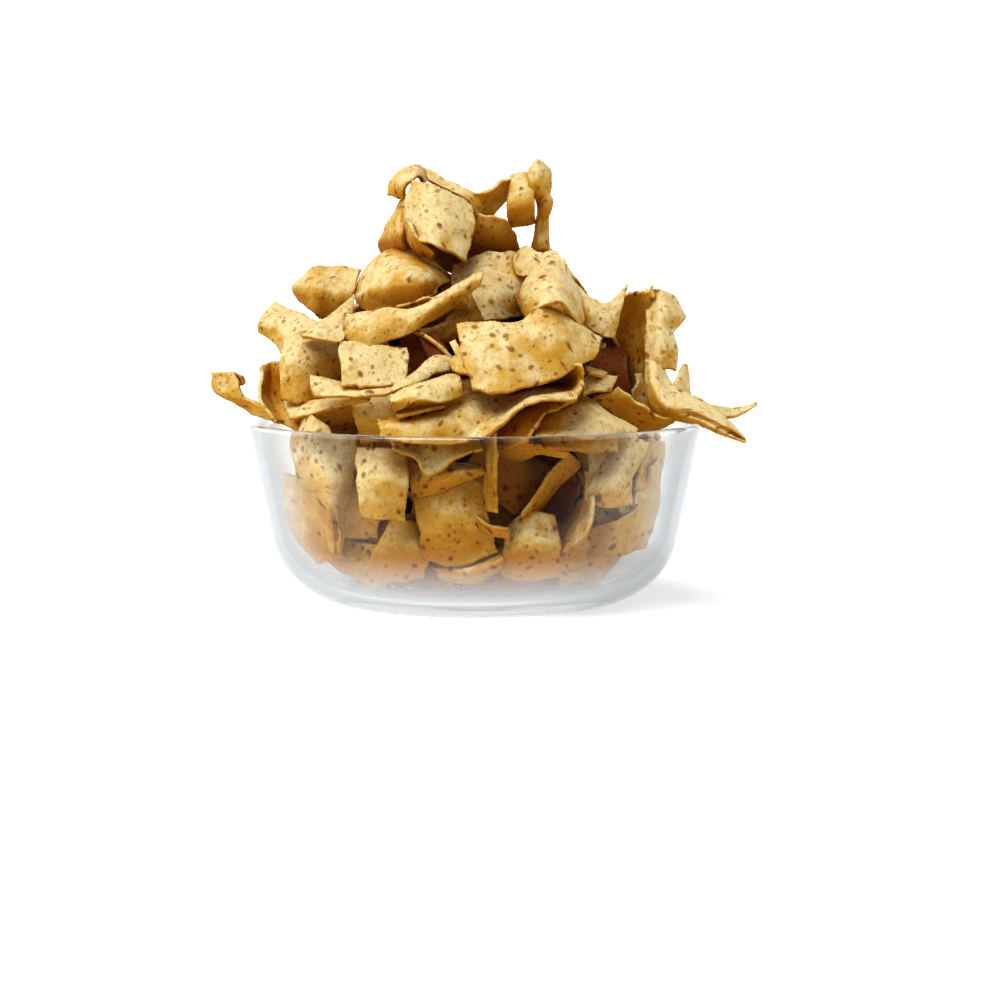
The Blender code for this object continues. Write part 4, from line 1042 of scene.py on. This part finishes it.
coated = add_node(baking, "GeometryNodeSetMaterial", {"Geometry": puffed, "Material": given["Dough"]})
add_node(baking, "NodeGroupOutput", {0: coated.outputs[0]})
print("the baking tree has", len(baking.nodes), "nodes")

# %% [markdown]
# ## Baked multigrain dough
#
# The dough is maize and oat with bran through it. To the eye it is a matt
# cream that bakes to a mottled gold, with soft brown flecks of bran from half
# a millimetre to two, and tiny pits where air broke through. Light goes a
# little way in and comes back warmer. The shade on it is a deep orange brown
# and not grey, and that shade is painted into the colour: it goes from a cream
# of painted light on faces turned up and open, through gold, to painted deep
# shade as a face turns down or lies sheltered by others. The flecks are the
# middles of three sets of cells with frayed borders. They read the place in
# the dough, not the place in space, a little squeezed along the crisp, so that
# they lie long in the direction of rolling.

# %% Dough with bran flecks
dough, tree, shader = new_material("baked_multigrain_dough")
where = add_node(tree, "ShaderNodeTexCoord").outputs["Object"]
in_dough = add_node(tree, "ShaderNodeAttribute", attribute_name="dough").outputs["Vector"]
ROLLED = (0.85, 1.0, 1.0)
FRAY_SIZE = 0.9
FRAY = 0.9
# A fleck fades out between these shares of its cell, and up to MISSING sooner.
FLECK = (0.16, 0.36)
MISSING = 0.2
# Spacing in mm, strength and colour of the bran, from fine to coarse.
BRAN = ((1.3, 0.4, "#b98a58"), (2.6, 0.65, "#b07444"), (4.4, 0.8, "#a06436"))
rolled = combine_vectors(tree, "MULTIPLY", in_dough, ROLLED)
fray = add_node(tree, "ShaderNodeTexNoise",
                {"Vector": rolled, "Scale": 1 / (FRAY_SIZE * MM), "Detail": 2.0})
centred = combine_vectors(tree, "SUBTRACT", fray.outputs["Color"], (0.5, 0.5, 0.5))
frayed = combine_vectors(tree, "ADD", rolled, combine_vectors(tree, "SCALE", centred, FRAY * MM))


def noise_of(size, detail=2.0):
    """Noise with features of this size in mm."""
    inputs = {"Vector": where, "Scale": 1 / (size * MM), "Detail": detail}
    return add_node(tree, "ShaderNodeTexNoise", inputs).outputs["Fac"]


def flecks(spacing, strength):
    """Irregular flecks about this many mm apart and up to half as wide; some places have none."""
    cells = add_node(tree, "ShaderNodeTexVoronoi", {"Vector": frayed, "Scale": 1 / (spacing * MM)}).outputs
    chance = add_node(tree, "ShaderNodeSeparateColor", {0: cells["Color"]}).outputs[0]
    reach = combine(tree, "ADD", cells["Distance"], combine(tree, "MULTIPLY", chance, MISSING))
    return band(tree, reach, *FLECK, strength, 0.0)


# Sizes in mm of the patches that toast more, of the two mottles, and of the
# grain and pits, and how near another crisp has to be to cast painted shade.
TOAST_PATCH = 12.0
MOTTLE = 6.0
FINE_MOTTLE = 2.6
GRAIN = 0.9
PIT = 1.3
PAINTED_SHADE_REACH = 18.0
# How much the upward slant and the shelter count in the painted light and
# shade, and what the mottle adds to the paleness and toasting, with painted
# deep shade, takes off it.
PAINTED_LIGHT_SLANT = (-0.75, 0.6)
PAINTED_SHADE_OPENNESS = (0.2, 0.85)
MOTTLING = 0.45
TOAST_AND_SHADE_STRENGTH = 0.42
# Painted light and shade: faces turned up and open get a paler colour, faces turned down or sheltered by
# nearby crisps a deeper one.
tint = add_node(tree, "ShaderNodeAttribute", attribute_name="tint").outputs["Fac"]
# The tint adds a crisp's own toast, and above 1 painted deep shade.
toast_and_painted_shade = combine(tree, "ADD", band(tree, noise_of(TOAST_PATCH), 0.35, 0.68, 0.0, 0.5), tint)
shelter_for_painted_shade = add_node(tree, "ShaderNodeAmbientOcclusion", {"Distance": PAINTED_SHADE_REACH * MM}, samples=8,
                     only_local=True).outputs["AO"]
facing = add_node(tree, "ShaderNodeNewGeometry").outputs["Normal"]
upward = add_node(tree, "ShaderNodeSeparateXYZ", {0: facing}).outputs["Z"]
painted_light_and_shade = combine(tree, "MULTIPLY", band(tree, upward, *PAINTED_LIGHT_SLANT), band(tree, shelter_for_painted_shade, *PAINTED_SHADE_OPENNESS))
mottle = combine(tree, "MULTIPLY", band(tree, noise_of(MOTTLE, 4.0), 0.3, 0.7), MOTTLING)
toasted_and_painted_shade = combine(tree, "MULTIPLY", toast_and_painted_shade, TOAST_AND_SHADE_STRENGTH)
paleness_and_painted_light = combine(tree, "SUBTRACT", combine(tree, "ADD", painted_light_and_shade, mottle), toasted_and_painted_shade)
# The colour runs from a deep orange brown of painted shade through gold to a cream of painted light as the
# paleness rises; the mottle and toast in it are the dough's own.
colour = blend_colours(tree, band(tree, paleness_and_painted_light, 0.0, 0.5), "#c48a24", "#d2a84e")
colour = blend_colours(tree, band(tree, paleness_and_painted_light, 0.5, 1.05), colour, "#e6d3a0")
fine_mottle = band(tree, noise_of(FINE_MOTTLE, 4.0), 0.45, 0.75, 0.0, 0.45)
colour = blend_colours(tree, fine_mottle, colour, "#b58236")
for spacing, strength, bran in BRAN:
    colour = blend_colours(tree, flecks(spacing, strength), colour, bran, "MULTIPLY")
# Painted deep shade: crisps with a tint above 1.2 are darkened further.
colour = blend_colours(tree, band(tree, tint, 1.2, 2.0), colour, "#967040", "MULTIPLY")
tree.links.new(colour, shader.inputs["Base Color"])
grain = noise_of(GRAIN, 3.0)
tree.links.new(band(tree, grain, 0.3, 0.7, 0.45, 0.65), shader.inputs["Roughness"])
shader.inputs["Specular IOR Level"].default_value = 0.2
shader.inputs["Subsurface Weight"].default_value = 0.1
shader.inputs["Subsurface Radius"].default_value = (1.0, 0.5, 0.18)
shader.inputs["Subsurface Scale"].default_value = 1.5 * MM
pits = band(tree, noise_of(PIT, 1.0), 0.62, 0.75)
relief = combine(tree, "SUBTRACT", grain, combine(tree, "MULTIPLY", pits, 1.5))
bump = add_node(tree, "ShaderNodeBump", {"Height": relief, "Strength": 0.6, "Distance": 0.3 * MM})
tree.links.new(bump.outputs["Normal"], shader.inputs["Normal"])

# %% [markdown]
# The crisps are baked in batches, none of them past 200,000 triangles: those
# of the front, high and low, those of the sides and back, and those inside.
# Each sheet carries its own tint, a number on its points, so that some crisps
# are paler and some more toasted. At the front the palest and the most
# toasted are the ones in the photo, and their tints hold painted light and
# painted shade besides the dough's own tone. Deep in the heap all are dark
# with painted shade, and a draw seeded by its name picks the tint of any
# other. Each sheet also carries each point's place in the dough, in metres
# along and across the crisp, which the flecks follow.

# %% Bake the crisps
SHEET_APART = 60.0
# Tints above 1 paint deep shade on the crisps in the gaps and inside the heap.
GAP_SHADE_TINT = 2.0
INSIDE_SHADE_TINT = 1.65
TOASTED_AND_SHADE_TINT = 0.65
PALE_AND_LIGHT_TINT = 0.25
# The listed tints follow the photo: the toasted crisps carry painted shade besides their own toast, the
# pale ones painted light besides their own pale dough.
TOASTED_AND_PAINTED_SHADE = (
    "hook", "left_arch", "saddle", "fold", "strand", "shade_square", "long_twist", "dark_panel",
    "wide_leaf", "gold_panel", "rim_shade", "ear", "hook_left", "wing", "long_curl", "under_arch",
    "tall_inner", "dark_cup", "far_left", "low_left", "glass_big", "glass_low_left", "glass_centre",
    "glass_arc", "glass_diagonal",
)
PALE_AND_PAINTED_LIGHT = (
    "diamond", "left_wing", "pale_flap", "roll", "swoop", "pale_panel", "tail", "flap", "square",
    "small_bar", "rim_chip", "front_leaf", "tall_lobe", "glass_square", "glass_pale", "glass_kite",
    "glass_vee",
)


def tint_of(name):
    """A crisp's tint: toasting from 0 to 1, or above 1 for painted deep shade deep in the heap."""
    if name.startswith("gap_") and name != "gap_rim":
        return GAP_SHADE_TINT
    if name.startswith("inside_"):
        return INSIDE_SHADE_TINT
    if name in TOASTED_AND_PAINTED_SHADE:
        return TOASTED_AND_SHADE_TINT
    if name in PALE_AND_PAINTED_LIGHT:
        return PALE_AND_LIGHT_TINT
    return random.Random(name).random()


def sheets_mesh(name, members):
    """Join the sheets of a batch of crisps in one mesh, with a tint on each."""
    points, faces, tints, places = [], [], [], []
    for number, member in enumerate(members):
        grid = laid[member]
        rows, columns = grid.shape[:2]
        first = len(points)
        points += [tuple(p * MM) for p in grid.reshape(-1, 3)]
        tints += [tint_of(member)] * (rows * columns)
        along = np.linalg.norm(np.diff(grid, axis=0, prepend=grid[:1]), axis=2).cumsum(0)
        across = np.linalg.norm(np.diff(grid, axis=1, prepend=grid[:, :1]), axis=2).cumsum(1)
        apart = np.full_like(along, number * SHEET_APART)
        places.append(np.stack([along, across, apart], 2).reshape(-1, 3) * MM)
        for i in range(rows - 1):
            for j in range(columns - 1):
                a = first + i * columns + j
                faces.append((a, a + columns, a + columns + 1, a + 1))
    mesh = bpy.data.meshes.new(name)
    mesh.from_pydata(points, [], faces)
    mesh.attributes.new("tint", "FLOAT", "POINT").data.foreach_set("value", tints)
    place = mesh.attributes.new("dough", "FLOAT_VECTOR", "POINT")
    place.data.foreach_set("vector", np.concatenate(places).ravel())
    return mesh


def run_tree(name, mesh, tree, settings):
    """Run a Geometry Nodes tree on a mesh, with inputs set by their sockets' identifiers."""
    holder = bpy.data.objects.new(name, mesh)
    scene.collection.objects.link(holder)
    modifier = holder.modifiers.new("tree", "NODES")
    modifier.node_group = tree
    for item in tree.interface.items_tree:
        if item.in_out == "INPUT" and item.name in settings:
            modifier[item.identifier] = settings[item.name]
    evaluated = holder.evaluated_get(bpy.context.evaluated_depsgraph_get())
    made = bpy.data.meshes.new_from_object(evaluated)
    bpy.data.objects.remove(holder)
    made.name = name
    return made


UPPER_FROM = 90.0


def batch_of(name):
    """The batch that a crisp is baked in."""
    if name.startswith("ring_"):
        return "crisps_back"
    if name.startswith("inside_"):
        return "crisps_inside"
    middle = laid[name][..., 2].mean()
    return "crisps_upper" if middle > UPPER_FROM else "crisps_front"


batches = {}
for name in laid:
    batches.setdefault(batch_of(name), []).append(name)
for name, members in batches.items():
    sheets = sheets_mesh(name + "_sheets", members)
    baked = run_tree(name, sheets, baking, {"Thickness": DOUGH * MM, "Dough": dough})
    finished(name, baked, dough, "crisps")

# Painted deep shade: the core's dark brown stands in for the shade in the middle of the heap.
shaded, tree, shader = new_material("dough_in_deep_shade")
shader.inputs["Base Color"].default_value = linear("#4a2206")
shader.inputs["Roughness"].default_value = 0.9
shader.inputs["Specular IOR Level"].default_value = 0.0
finished("heap_core", core_mesh, shaded, "crisps")

# %% [markdown]
# Crisps shed crumbs, and they gather on the bowl's floor. A second tree
# scatters small lumps over a ring of the floor, near the glass where they
# show, makes them real, and dents each one by a noise so that no two match.

# %% Crumbs on the bowl's floor
CRUMB_RING = (28.0, 46.5)
CRUMB_SIDES = 48
ABOVE_GLASS = 0.4
FULL_TURN = 6.28
crumbling = bpy.data.node_groups.new("scatter_crumbs", "GeometryNodeTree")
add_input(crumbling, "Ground", "NodeSocketGeometry", None)
add_input(crumbling, "Crumbs per square metre", "NodeSocketFloat", 20000.0)
add_input(crumbling, "Smallest", "NodeSocketFloat", 0.5 * MM)
add_input(crumbling, "Largest", "NodeSocketFloat", 1.4 * MM)
add_input(crumbling, "Dent size", "NodeSocketFloat", 1.5 * MM)
add_input(crumbling, "Dent height", "NodeSocketFloat", 1.0 * MM)
add_input(crumbling, "Dough", "NodeSocketMaterial", None)
crumbling.interface.new_socket("Crumbs", in_out="OUTPUT", socket_type="NodeSocketGeometry")
given = add_node(crumbling, "NodeGroupInput").outputs
points = add_node(crumbling, "GeometryNodeDistributePointsOnFaces",
                  {"Mesh": given["Ground"], "Density": given["Crumbs per square metre"], "Seed": 4})
ball = add_node(crumbling, "GeometryNodeMeshIcoSphere", {"Radius": 1.0, "Subdivisions": 3})
lump = add_node(crumbling, "GeometryNodeTransform",
                {"Geometry": ball.outputs["Mesh"], "Translation": (0.0, 0.0, 0.6),
                 "Scale": (1.0, 0.8, 0.6)})
turn = add_node(crumbling, "FunctionNodeRandomValue", {"Max": (0.0, 0.0, FULL_TURN), "Seed": 5},
                data_type="FLOAT_VECTOR")
size = add_node(crumbling, "FunctionNodeRandomValue", {"Seed": 6}, data_type="FLOAT")
size_sockets = [socket for socket in size.inputs if socket.enabled and socket.name in ("Min", "Max")]
crumbling.links.new(given["Smallest"], size_sockets[0])
crumbling.links.new(given["Largest"], size_sockets[1])
size_out = [socket for socket in size.outputs if socket.enabled][0]
copies = add_node(crumbling, "GeometryNodeInstanceOnPoints",
                  {"Points": points.outputs["Points"], "Instance": lump.outputs[0],
                   "Rotation": turn.outputs[0], "Scale": size_out})
real = add_node(crumbling, "GeometryNodeRealizeInstances", {"Geometry": copies.outputs[0]})
dented = offset_by_noise(crumbling, real.outputs[0], given["Dent size"], given["Dent height"], 0.1)
place = add_node(crumbling, "GeometryNodeInputPosition").outputs[0]
marked = add_node(crumbling, "GeometryNodeStoreNamedAttribute",
                  {"Geometry": dented, "Value": place, "Name": "dough"},
                  data_type="FLOAT_VECTOR", domain="POINT").outputs[0]
coated = add_node(crumbling, "GeometryNodeSetMaterial", {"Geometry": marked, "Material": given["Dough"]})
add_node(crumbling, "NodeGroupOutput", {0: coated.outputs[0]})

turns = np.linspace(0, 2 * math.pi, CRUMB_SIDES, endpoint=False)
rings = [[(radius * math.cos(a) * MM, radius * math.sin(a) * MM, (FLOOR + ABOVE_GLASS) * MM) for a in turns]
         for radius in CRUMB_RING]
quads = [(i, j, CRUMB_SIDES + j, CRUMB_SIDES + i)
         for i, j in ((i, (i + 1) % CRUMB_SIDES) for i in range(CRUMB_SIDES))]
ground = bpy.data.meshes.new("crumb_ground")
ground.from_pydata(rings[0] + rings[1], [], quads)
crumbs = run_tree("crumbs", ground, crumbling, {"Dough": dough})
finished("crumbs", crumbs, dough, "crisps")
